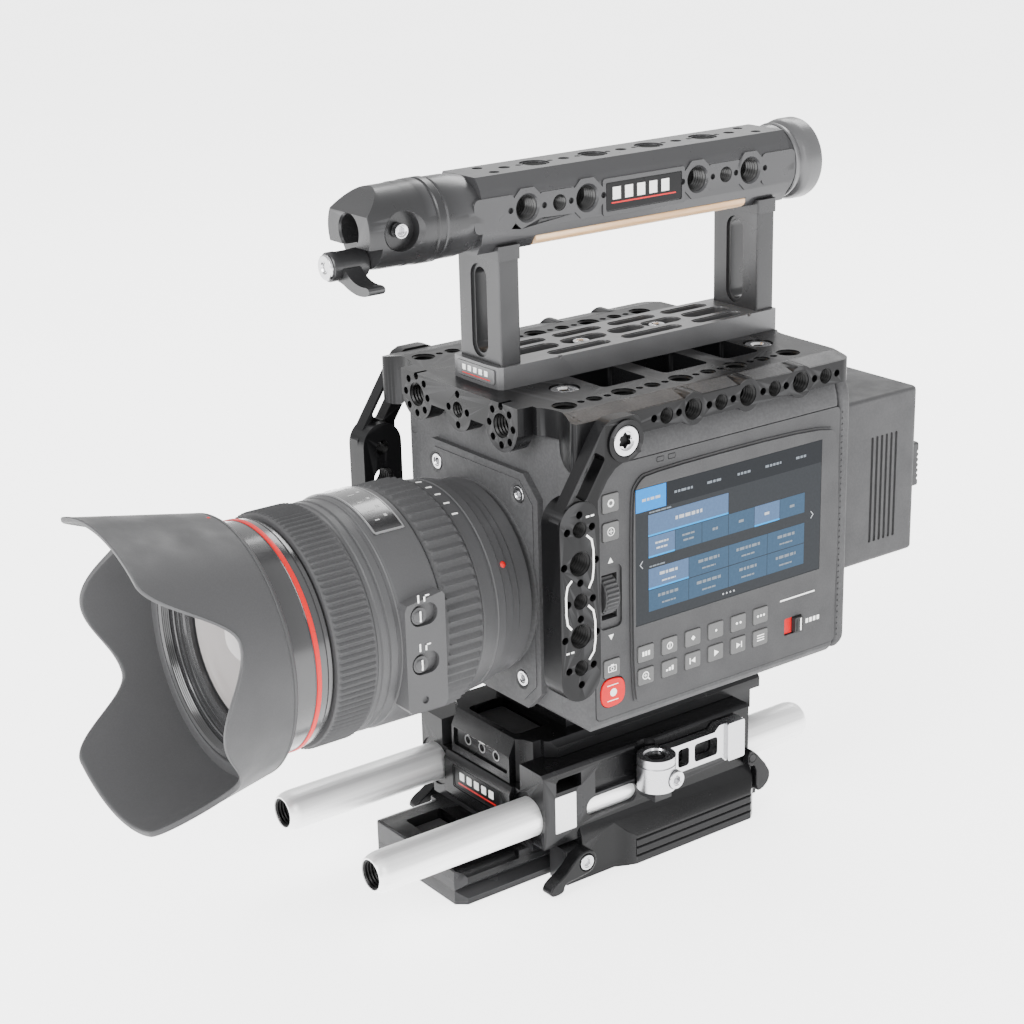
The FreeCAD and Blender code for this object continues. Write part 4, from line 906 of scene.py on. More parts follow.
AIM = {(axis, sign): Matrix.Rotation(math.radians(angle), 4, about)
       for axis, sign, angle, about in (("x", 1, 90, "Y"), ("x", -1, -90, "Y"), ("y", 1, -90, "X"),
                                        ("y", -1, 90, "X"), ("z", 1, 0, "X"))}


def turned_to(thing, axis, sign, position):
    """Turns a shape made along +Z to face along an axis and moves it there."""
    thing.data.transform(AIM[(axis, sign)])
    thing.data.transform(Matrix.Translation(Vector(position) * MM))
    return thing


def ribbon(name, plane, points, width, low, high):
    """A flat strip along a polyline."""
    left, right = [], []
    for i, (u, v) in enumerate(points):
        before = points[max(0, i - 1)]
        after = points[min(len(points) - 1, i + 1)]
        first = Vector((u - before[0], v - before[1]))
        second = Vector((after[0] - u, after[1] - v))
        first = first.normalized() if first.length > 1e-6 else second.normalized()
        second = second.normalized() if second.length > 1e-6 else first
        way = (first + second).normalized()
        normal = Vector((-way.y, way.x))
        stretch = width / 2 / max(0.4, normal.dot(Vector((-first.y, first.x))))
        left.append((u + normal.x * stretch, v + normal.y * stretch))
        right.append((u - normal.x * stretch, v - normal.y * stretch))
    return prism(name, plane, left + right[::-1], low, high)


def pins_round(u, v, radius, count, start=90.0):
    """Places for small holes evenly round a centre."""
    return [(u + radius * math.cos(math.radians(start + 360 * i / count)),
             v + radius * math.sin(math.radians(start + 360 * i / count))) for i in range(count)]


# ---- cage ----

CAGE_TOP, CAGE_FLOOR, CAGE_EDGE = 184.9, 175.0, 183.3
CAGE_HALF, CAGE_FLAT = 59.0, 49.0
ROW_Z, FRONT_HOLE_Z = 178.9, 176.9
BIG_ROWS = {1: (7.7, 33.2, 58.8), -1: (9.2, 34.7, 60.3)}
SMALL_ROWS = {1: (-4.5, 20.6, 46.0, 71.2), -1: (-3.0, 22.1, 47.5, 72.7)}
TOP_BIG = [-36 + 26 * i for i in range(5)]
TOP_SMALL = [-23 + 26 * i for i in range(4)]
CAGE_SCREW_Y = (-22.5, 69.1)


def front_outline(side):
    """The curved front corner of the cage's top, from above."""
    curve = [(35.5, -50.7), (36.3, -47.0), (39.2, -43.6), (43.5, -42.0), (48.0, -41.4), (53.0, -43.0),
             (56.5, -44.6), (58.6, -44.2), (59.0, -42.0)]
    return [(side * x, y) for x, y in chaikin(curve, 3)]


def cage_blank():
    """The cage's top before its holes are cut: sloping edges, front block, ears and bosses."""
    section = [(-CAGE_HALF, CAGE_FLOOR), (CAGE_HALF, CAGE_FLOOR), (CAGE_HALF, CAGE_EDGE),
               (CAGE_FLAT, CAGE_TOP), (-CAGE_FLAT, CAGE_TOP), (-CAGE_HALF, CAGE_EDGE)]
    plate = prism("cage", "xz", section, -44.7, 88)
    adds = [box("block", (-36, 36), (-50.7, -40), (CAGE_FLOOR, CAGE_TOP))]
    for x, radius in ((-25.8, 9.4), (0.0, 8.0), (25.8, 9.4)):
        arc = [(u, v) for u, v in circle(radius, x, FRONT_HOLE_Z, 64) if v < CAGE_TOP - 0.01]
        top = math.sqrt(max(0.0, radius ** 2 - (CAGE_TOP - FRONT_HOLE_Z) ** 2))
        arc.sort(key=lambda p: (math.atan2(p[1] - FRONT_HOLE_Z, p[0] - x) - math.pi / 2) % (2 * math.pi))
        adds.append(prism("lobe", "xz", [(x - top, CAGE_TOP)] + arc + [(x + top, CAGE_TOP)], -50.7, -43.9))
    for side in SIDES:
        ear = chaikin([(46.5, 176), (46.8, 169.5), (49.5, 165.8), (56.5, 165.6), (59.0, 168.0),
                       (59.0, 176)], 2)
        adds.append(prism("ear", "xz", [(side * x, z) for x, z in ear], -44.4, -41.4))
        for y in BIG_ROWS[side]:
            adds.append(rod("boss", "x", 5.9, *reach(side, 54.3, CAGE_HALF), (y, ROW_Z), 64))
            adds.append(rod("boss", "x", 5.9, *reach(side, 50.8, CAGE_HALF), (y, ROW_Z + 0.1), 64))
    return boolean(plate, adds, "UNION")


def cage_cuts():
    """Everything cut from the cage's top: corners, windows, threaded holes and pin holes."""
    tools = []
    for side in SIDES:
        curve = front_outline(side)
        shape = curve + [(side * 62, -42), (side * 62, -54), (side * 35.5, -54)]
        tools.append(prism("trim", "xy", shape, 160, 190))
        rear = chaikin([(side * CAGE_HALF, 79.5), (side * 58.2, 83.4), (side * 54.4, 84.6),
                        (side * 30, 85.2), (side * 18.5, 85.6), (side * 15.6, 88)], 2)
        tools.append(prism("trim", "xy", rear + [(side * 15.6, 91), (side * 62, 91), (side * 62, 79.5)],
                           160, 190))
        for low, high in ((-12, 8), (16, 37), (45, 62)):
            window = rounded(*reach(side, 13, 34), low, high, 2.2)
            tools.append(prism("window", "xy", window, 170, 190))
        tools += [rod("hole", "z", 4.4, 177, 190, (side * 42.5, y)) for y in TOP_BIG]
        for y in TOP_SMALL:
            tools.append(rod("hole", "z", 2.9, 177, 190, (side * 42.5, y), 40))
            tools += [rod("pin", "z", 1.35, 178, 190, (side * 42.5, y + s * 5.8), 24) for s in SIDES]
        deep, shallow = reach(side, 51.5, 62), reach(side, 54, 62)
        tools += [rod("hole", "x", 3.9, *deep, (y, ROW_Z)) for y in BIG_ROWS[side]]
        for y in SMALL_ROWS[side]:
            tools.append(rod("hole", "x", 2.9, *deep, (y, ROW_Z), 40))
            tools += [rod("pin", "x", 1.35, *shallow, (y + s * 5.6, ROW_Z), 24) for s in SIDES]
        tools.append(rod("hole", "y", 4.4, -55, -43.8, (side * 25.8, FRONT_HOLE_Z)))
        tools += [rod("pin", "y", 1.35, -55, -46, p, 24)
                  for p in pins_round(side * 25.8, FRONT_HOLE_Z, 6.9, 8)]
        tools += [rod("recess", "z", 5.6, 182.6, 190, (side * 25.2, y)) for y in CAGE_SCREW_Y]
    tools.append(rod("hole", "y", 2.9, -55, -43.8, (0, FRONT_HOLE_Z), 40))
    tools += [rod("pin", "y", 1.35, -55, -46, p, 24) for p in pins_round(0, FRONT_HOLE_Z, 5.6, 4)]
    return tools


def make_cage_top():
    """The cage's top plate."""
    plate = boolean(cage_blank(), cage_cuts())
    place(bevelled(plate, 0.38, 2, 33), "cage_top_plate", "anodised")
    plate.name = "cage_top"


def make_cage_threads():
    """The thread turns in the cage's holes."""
    top_depth, row_depth, front_depth = 7.6, 7.2, 6.6
    threads = []
    for side in SIDES:
        threads += [thread("z", 1, (side * 42.5, y), CAGE_TOP, 4.4, top_depth) for y in TOP_BIG]
        threads += [thread("z", 1, (side * 42.5, y), CAGE_TOP, 2.9, top_depth) for y in TOP_SMALL]
        threads += [thread("x", side, (y, ROW_Z), side * CAGE_HALF, 3.9, row_depth) for y in BIG_ROWS[side]]
        threads += [thread("x", side, (y, ROW_Z), side * CAGE_HALF, 2.9, row_depth) for y in SMALL_ROWS[side]]
        threads.append(thread("y", -1, (side * 25.8, FRONT_HOLE_Z), -50.7, 4.4, front_depth))
    threads.append(thread("y", -1, (0, FRONT_HOLE_Z), -50.7, 2.9, front_depth))
    attach(merged(threads, "cage_threads"), "cage_top_plate", "bore")


def make_cage_screws():
    """Four screws in the cage's top and one in each arm."""
    heads = []
    for side in SIDES:
        for y in CAGE_SCREW_Y:
            heads.append(turned_to(screw_shape(5.3, 1.7, 2.3, dish=0.5), "z", 1, (side * 25.2, y, 184.5)))
        arm_head = screw_shape(5.4, 2.2, 2.9, star=True, dish=0.7)
        heads.append(turned_to(arm_head, "x", side, (side * 65.15, -27.2, 175.8)))
    place(merged(heads, "cage_screw_heads"), "cage_screws", "screw")


def make_cage_band():
    """The grained strip along the cage's sloping edge."""
    low_x, high_x = 50.2, 58.4
    low_z, high_z = (CAGE_TOP - 1.6 * (x - CAGE_FLAT) / 10 for x in (low_x, high_x))
    band = []
    for side in SIDES:
        outline = [(side * low_x, low_z - 0.3), (side * high_x, high_z - 0.3), (side * high_x, high_z + 0.05),
                   (side * low_x, low_z + 0.05)]
        strip = prism("band", "xz", outline, -40.5, 82.6)
        cuts = [rod("boss", "x", 6.3, *reach(side, 50.4, 60.0), (y, ROW_Z + 0.1), 64) for y in BIG_ROWS[side]]
        corner = [(side * 49, 84), (side * 57.4, 80.6), (side * 62, 78), (side * 62, 90), (side * 49, 90)]
        cuts.append(prism("c", "xy", corner, 170, 190))
        band.append(boolean(strip, cuts))
    attach(smooth(merged(band, "cage_band")), "cage_top_plate", "anodised_grain")


ARM_BORES = ((149.0, 2.9), (136.8, 4.4), (123.2, 2.9), (110.5, 4.4), (98.8, 2.9))
ARM_Y, ARM_HALF, ARM_FACE = -47.8, 8.5, 65.0
ARM_SCREW = (-27.2, 175.8)


def arm_end(level, sign):
    """The half circle that closes the arm's lower plate at one end, sign the way it bulges."""
    return [(ARM_Y - sign * ARM_HALF * math.cos(math.radians(a)),
             level + sign * ARM_HALF * math.sin(math.radians(a)))
            for a in range(10, 180, 10)]


def make_cage_arms():
    """The two arms that drop beside the lens mount."""
    side_view = [(-56.3, 148), (-56.3, 152.5), (-37.8, 180.6), (-36.0, 182.9), (-33.2, 184.2), (-24.0, 184.2),
                 (-21.4, 183.4), (-20.3, 181), (-20.3, 170.5), (-27.5, 168.6), (-31.5, 166.9), (-35.0, 163.6),
                 (-39.3, 157), (-39.3, 148)]
    arm = prism("arm", "yz", side_view, 59.0, 64.3)
    top, bottom = 150.2, 95
    lower = [(-56.3, bottom), (-56.3, top)] + arm_end(top, 1)
    lower += [(-39.3, top), (-39.3, bottom)] + arm_end(bottom, -1)
    plate = prism("arm_plate", "yz", lower, 55.0, ARM_FACE)
    pad = rod("pad", "x", 7.4, 63, ARM_FACE, ARM_SCREW, 64)
    boolean(arm, [plate, pad], "UNION")
    tools = [rod("recess", "x", 5.6, 62.6, 70, ARM_SCREW)]
    slope = math.radians(56.5)
    slot = [(-42.6 + u * math.cos(slope) - v * math.sin(slope),
             166.2 + u * math.sin(slope) + v * math.cos(slope))
            for u, v in rounded(-8.2, 8.2, -2.8, 2.8, 1.3)]
    tools.append(prism("slot", "yz", slot, 50, 70))
    for level, radius in ARM_BORES:
        tools.append(rod("hole", "x", radius, 50, 70, (ARM_Y, level)))
        tools += [rod("pin", "x", 1.35, 60, 70, (ARM_Y + s * (radius + 2.4), level), 24) for s in SIDES]
    tools += [rod("pin", "x", 1.35, 60, 70, (ARM_Y, level), 24) for level in (154.2, 129.9, 116.8, 92.6)]
    boolean(arm, tools)
    right = bevelled(arm, 0.42, 2, 33)
    left = mirror_copy(right, "cage_arm_l")
    right.name = "cage_arm_r"
    place(right, "cage_arm_right", "anodised")
    place(smooth(left, 38), "cage_arm_left", "anodised")
    for node, side in (("cage_arm_right", 1), ("cage_arm_left", -1)):
        rings = [thread("x", side, (ARM_Y, level), side * ARM_FACE, radius, 10.0, blind=False)
                 for level, radius in ARM_BORES]
        attach(merged(rings, node + "_threads"), node, "bore")


def make_arm_lines():
    """The lines printed beside the holes of the right arm."""
    lines = [[(-44.9, 146.4), (-42.0, 143.6), (-42.0, 131.0), (-44.2, 127.2)],
             [(-51.4, 131.6), (-54.0, 129.2), (-54.0, 116.6), (-51.8, 113.9)],
             [(-44.6, 121.0), (-41.6, 117.8), (-41.6, 104.4), (-44.4, 101.0)]]
    under, face = ARM_FACE - 0.1, ARM_FACE + 0.08
    strips = [ribbon("line", "yz", chaikin(points, 1), 0.75, under, face) for points in lines]
    strips += [box("p", (under, face), (-45.0 + s, -43.6 + s), (152.6, 153.2)) for s in (0, 2)]
    strips += [box("p", (under, face), (-54.2 + s, -52.9 + s), (105.2, 105.8)) for s in (0, 2)]
    attach(merged(strips, "arm_guide_lines"), "cage_arm_right", "white_print")


make_cage_top()
make_cage_threads()
make_cage_screws()
make_cage_band()
make_cage_arms()
make_arm_lines()


# ---- camera ----

FRONT, SHELL_END, LOW, TOP, HALF = -41.0, 84.0, 65.4, 175.0, 54.0
PANEL_FACE, BEZEL_FACE = 54.2, 55.6


def camera_section(inset=0.0):
    """The camera's outline from the front."""
    side, low, top = HALF - inset, LOW + inset, TOP - inset
    right = [(side - 3.2, low), (side - 0.9, low + 0.9), (side, low + 3.2), (side, top - 9.8),
             (side - 0.7, top - 6.0), (side - 1.9, top - 2.6), (side - 4.2, top)]
    return right + [(-x, z) for x, z in reversed(right)]


def make_camera_body():
    """The camera's shell, with the recess for the side panel and the vents of the far side."""
    block = bevelled(prism("camera", "xz", camera_section(), FRONT, SHELL_END - 0.15), 2.2, 4, 33)
    chin, rise = FRONT + 7.5, LOW + 6.5
    lower = [(FRONT - 1, LOW - 1), (chin, LOW - 1), (chin, LOW), (FRONT, rise), (FRONT - 1, rise)]
    tools = [prism("chin", "yz", lower, -60, 60)]
    for side in SIDES:
        corner = [(side * (HALF - 8.8), FRONT - 1), (side * (HALF + 1), FRONT - 1),
                  (side * (HALF + 1), FRONT + 6.2),
                  (side * HALF, FRONT + 5.6), (side * (HALF - 8.8), FRONT)]
        tools.append(prism("corner", "xy", corner, LOW - 1, TOP + 1))
    boolean(block, tools)
    block = bevelled(block, 0.9, 3, 24)
    inside = box("inside", (-51, 48.6), (FRONT + 5, SHELL_END + 1), (LOW + 3, TOP - 9.5))
    recess = prism("recess", "yz", rounded(-33.15, SHELL_END + 3, 69.85, 164.15, 2.2), 51.6, 58)
    slot = box("slot", (42, 54), (-29.4, -22.6), (107.4, 124.6))
    throat = rod("throat", "y", 26.5, FRONT - 1, FRONT + 8, LENS, 96)
    marks = [prism("mark", "xz", rounded(-50.5, -41.5, 156.4, 158.4, 0.6), FRONT - 1, FRONT + 0.5),
             prism("mark", "xz", rounded(-50.0, -47.6, 118, 146, 1.1), FRONT - 1, FRONT + 0.8),
             box("vent", (-60, -53.2), (-12, 60), (84, 85.4))]
    marks += [prism("vent", "yz", rounded(-8, 58, 92 + 5.2 * i, 94.6 + 5.2 * i, 1.2), -56, -52.9)
              for i in range(9)]
    boolean(block, [inside, recess, slot, throat] + marks)
    place(bevelled(block, 0.28, 2, 33), "camera_body", "body")


def make_back_cover():
    """The back cover with a row of dents along each side, its door and its screws."""
    screw_z = (77.0, 164)
    back = bevelled(prism("back", "xz", camera_section(0.25), SHELL_END + 0.15, 90), 1.8, 4, 33)
    tools = []
    for side in SIDES:
        tools += [rod("dent", "x", 0.42, *reach(side, 53.45, 56), (85.6, 72 + 2.35 * i), 10)
                  for i in range(39)]
        tools += [rod("well", "y", 2.6, 88.8, 92, (side * 48.5, z), 32) for z in screw_z]
    tools.append(box("door", (-40, 40), (89.4, 92), (73, 86)))
    tools.append(prism("heel", "yz", [(84.0, 64.6), (91, 64.6), (91, 72.2), (89.9, 72.2), (88.6, 70.0)],
                       -60, 60))
    boolean(back, tools)
    back = bevelled(back, 0.22, 2, 33)
    door = bevelled(box("door", (-39.6, 39.6), (89.2, 89.9), (73.4, 85.6)), 0.25)
    ribs = [bevelled(box("rib", (-36 + 6 * i, -33 + 6 * i), (89.7, 90.0), (75.5, 83)), 0.1)
            for i in range(12)]
    heads = [turned_to(screw_shape(2.3, 1.0, 1.1, dish=0.2), "y", 1, (side * 48.5, 89.7, z))
             for side in SIDES for z in screw_z]
    place(back, "camera_back_cover", "body")
    attach(merged([door] + ribs, "rear_door"), "camera_back_cover", "rubber")
    attach(merged(heads, "rear_screws"), "camera_back_cover", "screw")


def make_mount_plate():
    """The plate round the lens mount, its four screws and the release button."""
    w, nip = 36.0, 8.0
    low, high = LENS[1] - 44, LENS[1] + 45
    outline = [(-w + nip, low), (w - nip, low), (w, low + nip), (w, high - nip), (w - nip, high),
               (nip - w, high), (-w, high - nip), (-w, low + nip)]
    plate = prism("plate", "xz", outline, -43.5, FRONT)
    smaller = [(x * 0.93, LENS[1] + (z - LENS[1]) * 0.94) for x, z in outline]
    raised = prism("raised", "xz", smaller, -43.9, -42)
    flared = [(-42, 0.0), (-42, 36.2), (-44.2, 35.6), (-45.2, 34.4), (-47.0, 33.5), (-47.0, 0.0)]
    skirt = revolved("skirt", flared, LENS, count=144)
    boolean(plate, [raised, skirt], "UNION")
    tools = [rod("throat", "y", 26.5, -48, -40, LENS, 96)]
    spots = [(sx * 25, LENS[1] + dz) for sx in SIDES for dz in (36.7, -33.3)]
    well = [(-44.5, 0.0), (-44.5, 4.1), (-43.9, 4.1), (-43.3, 3.2), (-42.1, 3.2), (-42.1, 0)]
    tools += [revolved("well", well, spot, count=40) for spot in spots]
    boolean(plate, tools)
    place(bevelled(plate, 0.5, 3, 33), "lens_mount_plate", "body")
    heads = [turned_to(screw_shape(3.0, 1.4, 1.45, dish=0.15), "y", -1, (x, -43.75, z)) for x, z in spots]
    place(merged(heads, "mount_screw_heads"), "lens_mount_screws", "screw")
    button = bevelled(rod("release", "y", 4.2, -46.6, -43.0, (-31.0, 88.5), 40), 0.6, 3)
    attach(button, "lens_mount_plate", "body")


def triangle(u, v, size, way):
    """A small triangle whose tip points up, down, right or left."""
    tip = {"up": 90, "down": 270, "right": 0, "left": 180}[way]
    angles = [math.radians(tip + turn) for turn in (0, 120, 240)]
    return [(u + size * math.cos(a), v + size * math.sin(a)) for a in angles]


def ring_mark(u, v, outer, inner, low, high, count=32):
    """A thin printed ring on the side face."""
    band = prism("ring", "yz", circle(outer, u, v, count), low, high)
    hole = prism("hole", "yz", circle(inner, u, v, count), low - 0.5, high + 0.5)
    return boolean(band, [hole], overlap=False)


def bar(u0, u1, v0, v1, low, high):
    """A thin block on the side face."""
    return box("bar", (low, high), (u0, u1), (v0, v1))


STRIP = -26.0


def bezel_shape(front, rear, low, high, nip):
    """The bezel's outline, whose lower front corner is the tightest."""
    return chaikin([(front, low + nip * 0.45), (front + nip * 0.45, low), (rear - nip, low),
                    (rear, low + nip), (rear, high - nip * 0.8), (rear - nip * 0.8, high),
                    (front + nip * 0.95, high), (front + nip * 0.3, high - nip * 0.35),
                    (front, high - nip)], 2, closed=True)


KEY_COLUMNS = [-11.6 + 11.06 * c for c in range(6)]
KEY_ROWS = (82.6, 91.4)
SMALL_KEYS = (("photo_button", 89.2), ("focus_button", 140.4), ("iris_button", 150.8))


def record_shape(grow=0.0):
    """The record button's outline, grown by a gap."""
    y0, y1, z0, z1, nip = -31.0 - grow, -20.2 + grow, 74.4 - grow, 85.2 + grow, 2.4
    return chaikin([(y0, z0), (y1 - nip, z0), (y1, z0 + nip), (y1, z1 - nip), (y1 - nip, z1), (y0, z1)], 2,
                   closed=True)


def make_panel():
    """The side panel with the wells of its keys, screen, wheel and slider."""
    mark_y = (-5.0, 0.2)
    panel = prism("panel", "yz", rounded(-32.95, 83.9, 70.05, 163.95, 2.0), 51.6, PANEL_FACE)
    lip = prism("lip", "yz", bezel_shape(-17.6, 83.6, 71.4, 159.2, 8.4), PANEL_FACE - 0.5, 54.75)
    bezel = prism("bezel", "yz", bezel_shape(-16.9, 82.9, 72.1, 158.4, 8.0), PANEL_FACE - 0.4, BEZEL_FACE)
    boolean(panel, [lip], "UNION")
    boolean(panel, [bezel], "UNION")
    tools = [box("screen", (54.7, 57), (-15.8, 73.7), (102.4, 153.4))]
    tools += [prism("key", "yz", rounded(y - 3.8, y + 3.8, z - 3.3, z + 3.3, 0.9), 52.6, 57)
              for z in KEY_ROWS for y in KEY_COLUMNS]
    tools += [prism("key", "yz", rounded(STRIP - 3.8, STRIP + 3.8, z - 3.6, z + 3.6, 1.0), 52.2, 57)
              for _, z in SMALL_KEYS]
    tools.append(prism("record", "yz", record_shape(0.25), 52.2, 57))
    tools.append(prism("dish", "yz", rounded(-31.0, -21.0, 104.2, 127.6, 2.2), 53.3, 57))
    tools.append(box("slot", (50, 57), (-29.4, -22.6), (107.6, 124.4)))
    tools.append(prism("lock", "yz", rounded(56.2, 65.0, 79.6, 86.4, 0.6), 54.0, 57))
    tools += [prism("mark", "yz", rounded(y, y + 3.4, 160.9, 162.9, 0.5), 53.8, 57) for y in mark_y]
    boolean(panel, tools)
    place(bevelled(panel, 0.3, 2, 30), "camera_side_panel", "panel")
    panel.name = "side_panel"
    marks = [bevelled(prism("mark", "yz", rounded(y + 0.2, y + 3.2, 161.1, 162.7, 0.4), 53.7, 54.3), 0.1)
             for y in mark_y]
    attach(merged(marks, "panel_marks"), "camera_side_panel", "bezel")
    prints = [prism("up", "yz", triangle(STRIP, 129.4, 1.35, "up"), 54.15, 54.24),
              prism("down", "yz", triangle(STRIP, 101.2, 1.35, "down"), 54.15, 54.24)]
    attach(merged(prints, "strip_arrows"), "camera_side_panel", "white_print")
    label = [bar(67.2 + 1.9 * i, 68.5 + 1.9 * i, 82.0, 83.8, 55.55, 55.64) for i in range(4)]
    label += [bar(53.8, 71.5, 93.9, 94.5, 55.55, 55.63)]
    attach(merged(label, "lock_label"), "camera_side_panel", "white_print")


def make_lock_slider():
    """The lock's red floor and its sliding toggle."""
    slot_floor = prism("floor", "yz", rounded(56.3, 60.9, 79.75, 86.25, 0.5), 54.0, 54.75)
    attach(bevelled(slot_floor, 0.12), "camera_side_panel", "lock_red")
    toggle = prism("toggle", "yz", rounded(60.6, 64.8, 79.9, 86.1, 0.7), 54.1, 56.9)
    dips = [box("dip", (56.55, 58), (61.3, 61.75), (80.6, 85.4))]
    boolean(toggle, dips)
    place(bevelled(toggle, 0.22), "lock_slider", "dark")
    toggle.name = "lock_toggle"
    stripe = bar(63.2, 63.9, 80.5, 85.5, 56.8, 56.93)
    attach(stripe, "lock_slider", "white_print")
    stripe.name = "lock_stripe"


def key_cap(y, z, half_y, half_z, base, face, nip=0.8):
    """A soft-edged key."""
    cap = prism("key", "yz", rounded(y - half_y, y + half_y, z - half_z, z + half_z, nip), base, face)
    return bevelled(cap, 0.28, 3, 33)


def key_symbols(column):
    """Plain symbols for the two keys of a column, printed on their faces."""
    low, high = BEZEL_FACE + 0.45, BEZEL_FACE + 0.53
    y = KEY_COLUMNS[column]
    lower, upper = KEY_ROWS
    marks = []
    if column == 0:
        marks += [ring_mark(y - 0.3, lower + 0.3, 1.5, 1.15, low, high)]
        marks += [bar(y - 1.0, y + 0.4, lower + 0.15, lower + 0.45, low, high),
                  bar(y - 0.45, y - 0.15, lower - 0.4, lower + 1.0, low, high),
                  ribbon("stem", "yz", [(y + 0.8, lower - 0.8), (y + 1.7, lower - 1.7)], 0.4, low, high)]
        marks += [bar(y - 1.8 + 1.3 * i, y - 0.9 + 1.3 * i, upper - 0.9, upper + 0.9, low, high)
                  for i in range(3)]
    elif column == 1:
        marks += [bar(y - 1.8 + 1.3 * i, y - 0.9 + 1.3 * i, lower - 0.9, lower - 0.1 + 0.5 * i, low, high)
                  for i in range(3)]
        marks += [ring_mark(y, upper, 1.4, 1.05, low, high),
                  bar(y - 0.15, y + 0.15, upper - 1.2, upper + 1.2, low, high)]
    elif column == 2:
        marks += [prism("t", "yz", triangle(y + 0.35, lower, 1.3, "left"), low, high),
                  bar(y - 1.7, y - 1.25, lower - 1.2, lower + 1.2, low, high)]
        marks += [prism("s", "yz", circle(1.0, y, upper, 4), low, high)]
    elif column == 3:
        marks += [prism("t", "yz", triangle(y - 0.1, lower, 1.5, "right"), low, high)]
        marks += [prism("d", "yz", circle(0.5, y, upper, 16), low, high)]
    elif column == 4:
        marks += [prism("t", "yz", triangle(y - 0.35, lower, 1.3, "right"), low, high),
                  bar(y + 1.25, y + 1.7, lower - 1.2, lower + 1.2, low, high)]
        marks += [prism("d", "yz", circle(0.5, y + s, upper, 16), low, high) for s in (-0.9, 0.9)]
    else:
        marks += [bar(y - 1.8, y + 1.8, lower - 1.2 + 1.0 * i, lower - 0.8 + 1.0 * i, low, high)
                  for i in range(3)]
        marks += [prism("d", "yz", circle(0.5, y + s, upper, 16), low, high) for s in (-1.5, 0.0, 1.5)]
    return marks


def make_keys():
    """Six columns of two keys."""
    for column, y in enumerate(KEY_COLUMNS):
        node = f"keys_column_{column + 1}"
        caps = [key_cap(y, z, 3.6, 3.1, BEZEL_FACE - 1.6, BEZEL_FACE + 0.5) for z in KEY_ROWS]
        place(merged(caps, node + "_caps"), node, "key")
        attach(merged(key_symbols(column), node + "_symbols"), node, "white_print")


def make_small_keys():
    """The three keys of the front strip."""
    for node, z in SMALL_KEYS:
        face = PANEL_FACE + 0.5
        place(key_cap(STRIP, z, 3.6, 3.4, PANEL_FACE - 1.1, face, 0.9), node, "key")
        low, high = face - 0.05, face + 0.03
        if node == "iris_button":
            marks = [ring_mark(STRIP, z, 1.5, 0.85, low, high, 8)]
        elif node == "focus_button":
            marks = [ring_mark(STRIP, z, 1.6, 1.3, low, high)]
            marks += [bar(STRIP - 0.9, STRIP + 0.9, z - 0.15, z + 0.15, low, high),
                      bar(STRIP - 0.15, STRIP + 0.15, z - 0.9, z + 0.9, low, high)]
        else:
            body = prism("icon", "yz", rounded(STRIP - 1.9, STRIP + 1.9, z - 1.4, z + 1.1, 0.3), low, high)
            inner = rounded(STRIP - 1.6, STRIP + 1.6, z - 1.1, z + 0.8, 0.2)
            boolean(body, [prism("hole", "yz", inner, 50, 60)])
            marks = [body, ring_mark(STRIP, z - 0.15, 0.8, 0.5, low, high),
                     bar(STRIP - 0.7, STRIP + 0.7, z + 1.1, z + 1.5, low, high)]
        attach(merged(marks, node + "_symbol"), node, "white_print")


def make_record_button():
    """The red record button."""
    record = bevelled(prism("record", "yz", record_shape(), PANEL_FACE - 1.1, PANEL_FACE + 0.5), 0.32, 3, 33)
    place(record, "record_button", "record")
    low, high = PANEL_FACE + 0.45, PANEL_FACE + 0.53
    marks = [prism("dot", "yz", circle(1.5, STRIP + 0.4, 79.8, 32), low, high),
             bar(STRIP - 2.4, STRIP + 2.6, 82.6, 82.9, low, high),
             bar(STRIP - 2.4, STRIP + 2.6, 76.7, 77.0, low, high)]
    attach(merged(marks, "record_symbol"), "record_button", "white_print")


def make_jog_wheel():
    """The toothed wheel between its two flanges."""
    teeth, crest, root = 30, 8.2, 7.6
    x, z = 48.0, 116.0
    outline = []
    for i in range(teeth):
        for share, r in ((0.0, crest), (0.18, crest), (0.5, root), (0.68, root)):
            a = 2 * math.pi * (i + share) / teeth
            outline.append((x + r * math.cos(a), z + r * math.sin(a)))
    wheel = prism("wheel", "xz", outline, STRIP - 2.6, STRIP + 2.6)
    flanges = [revolved("flange", [(y0, 0.0), (y0, 7.5), (y0 + 0.15, 7.7), (y0 + 0.5, 7.7), (y0 + 0.5, 0.0)],
                        (x, z), "y", 60) for y0 in (STRIP - 3.1, STRIP + 2.6)]
    boolean(wheel, flanges, "UNION")
    place(bevelled(wheel, 0.12, 1, 33), "jog_wheel", "rubber")


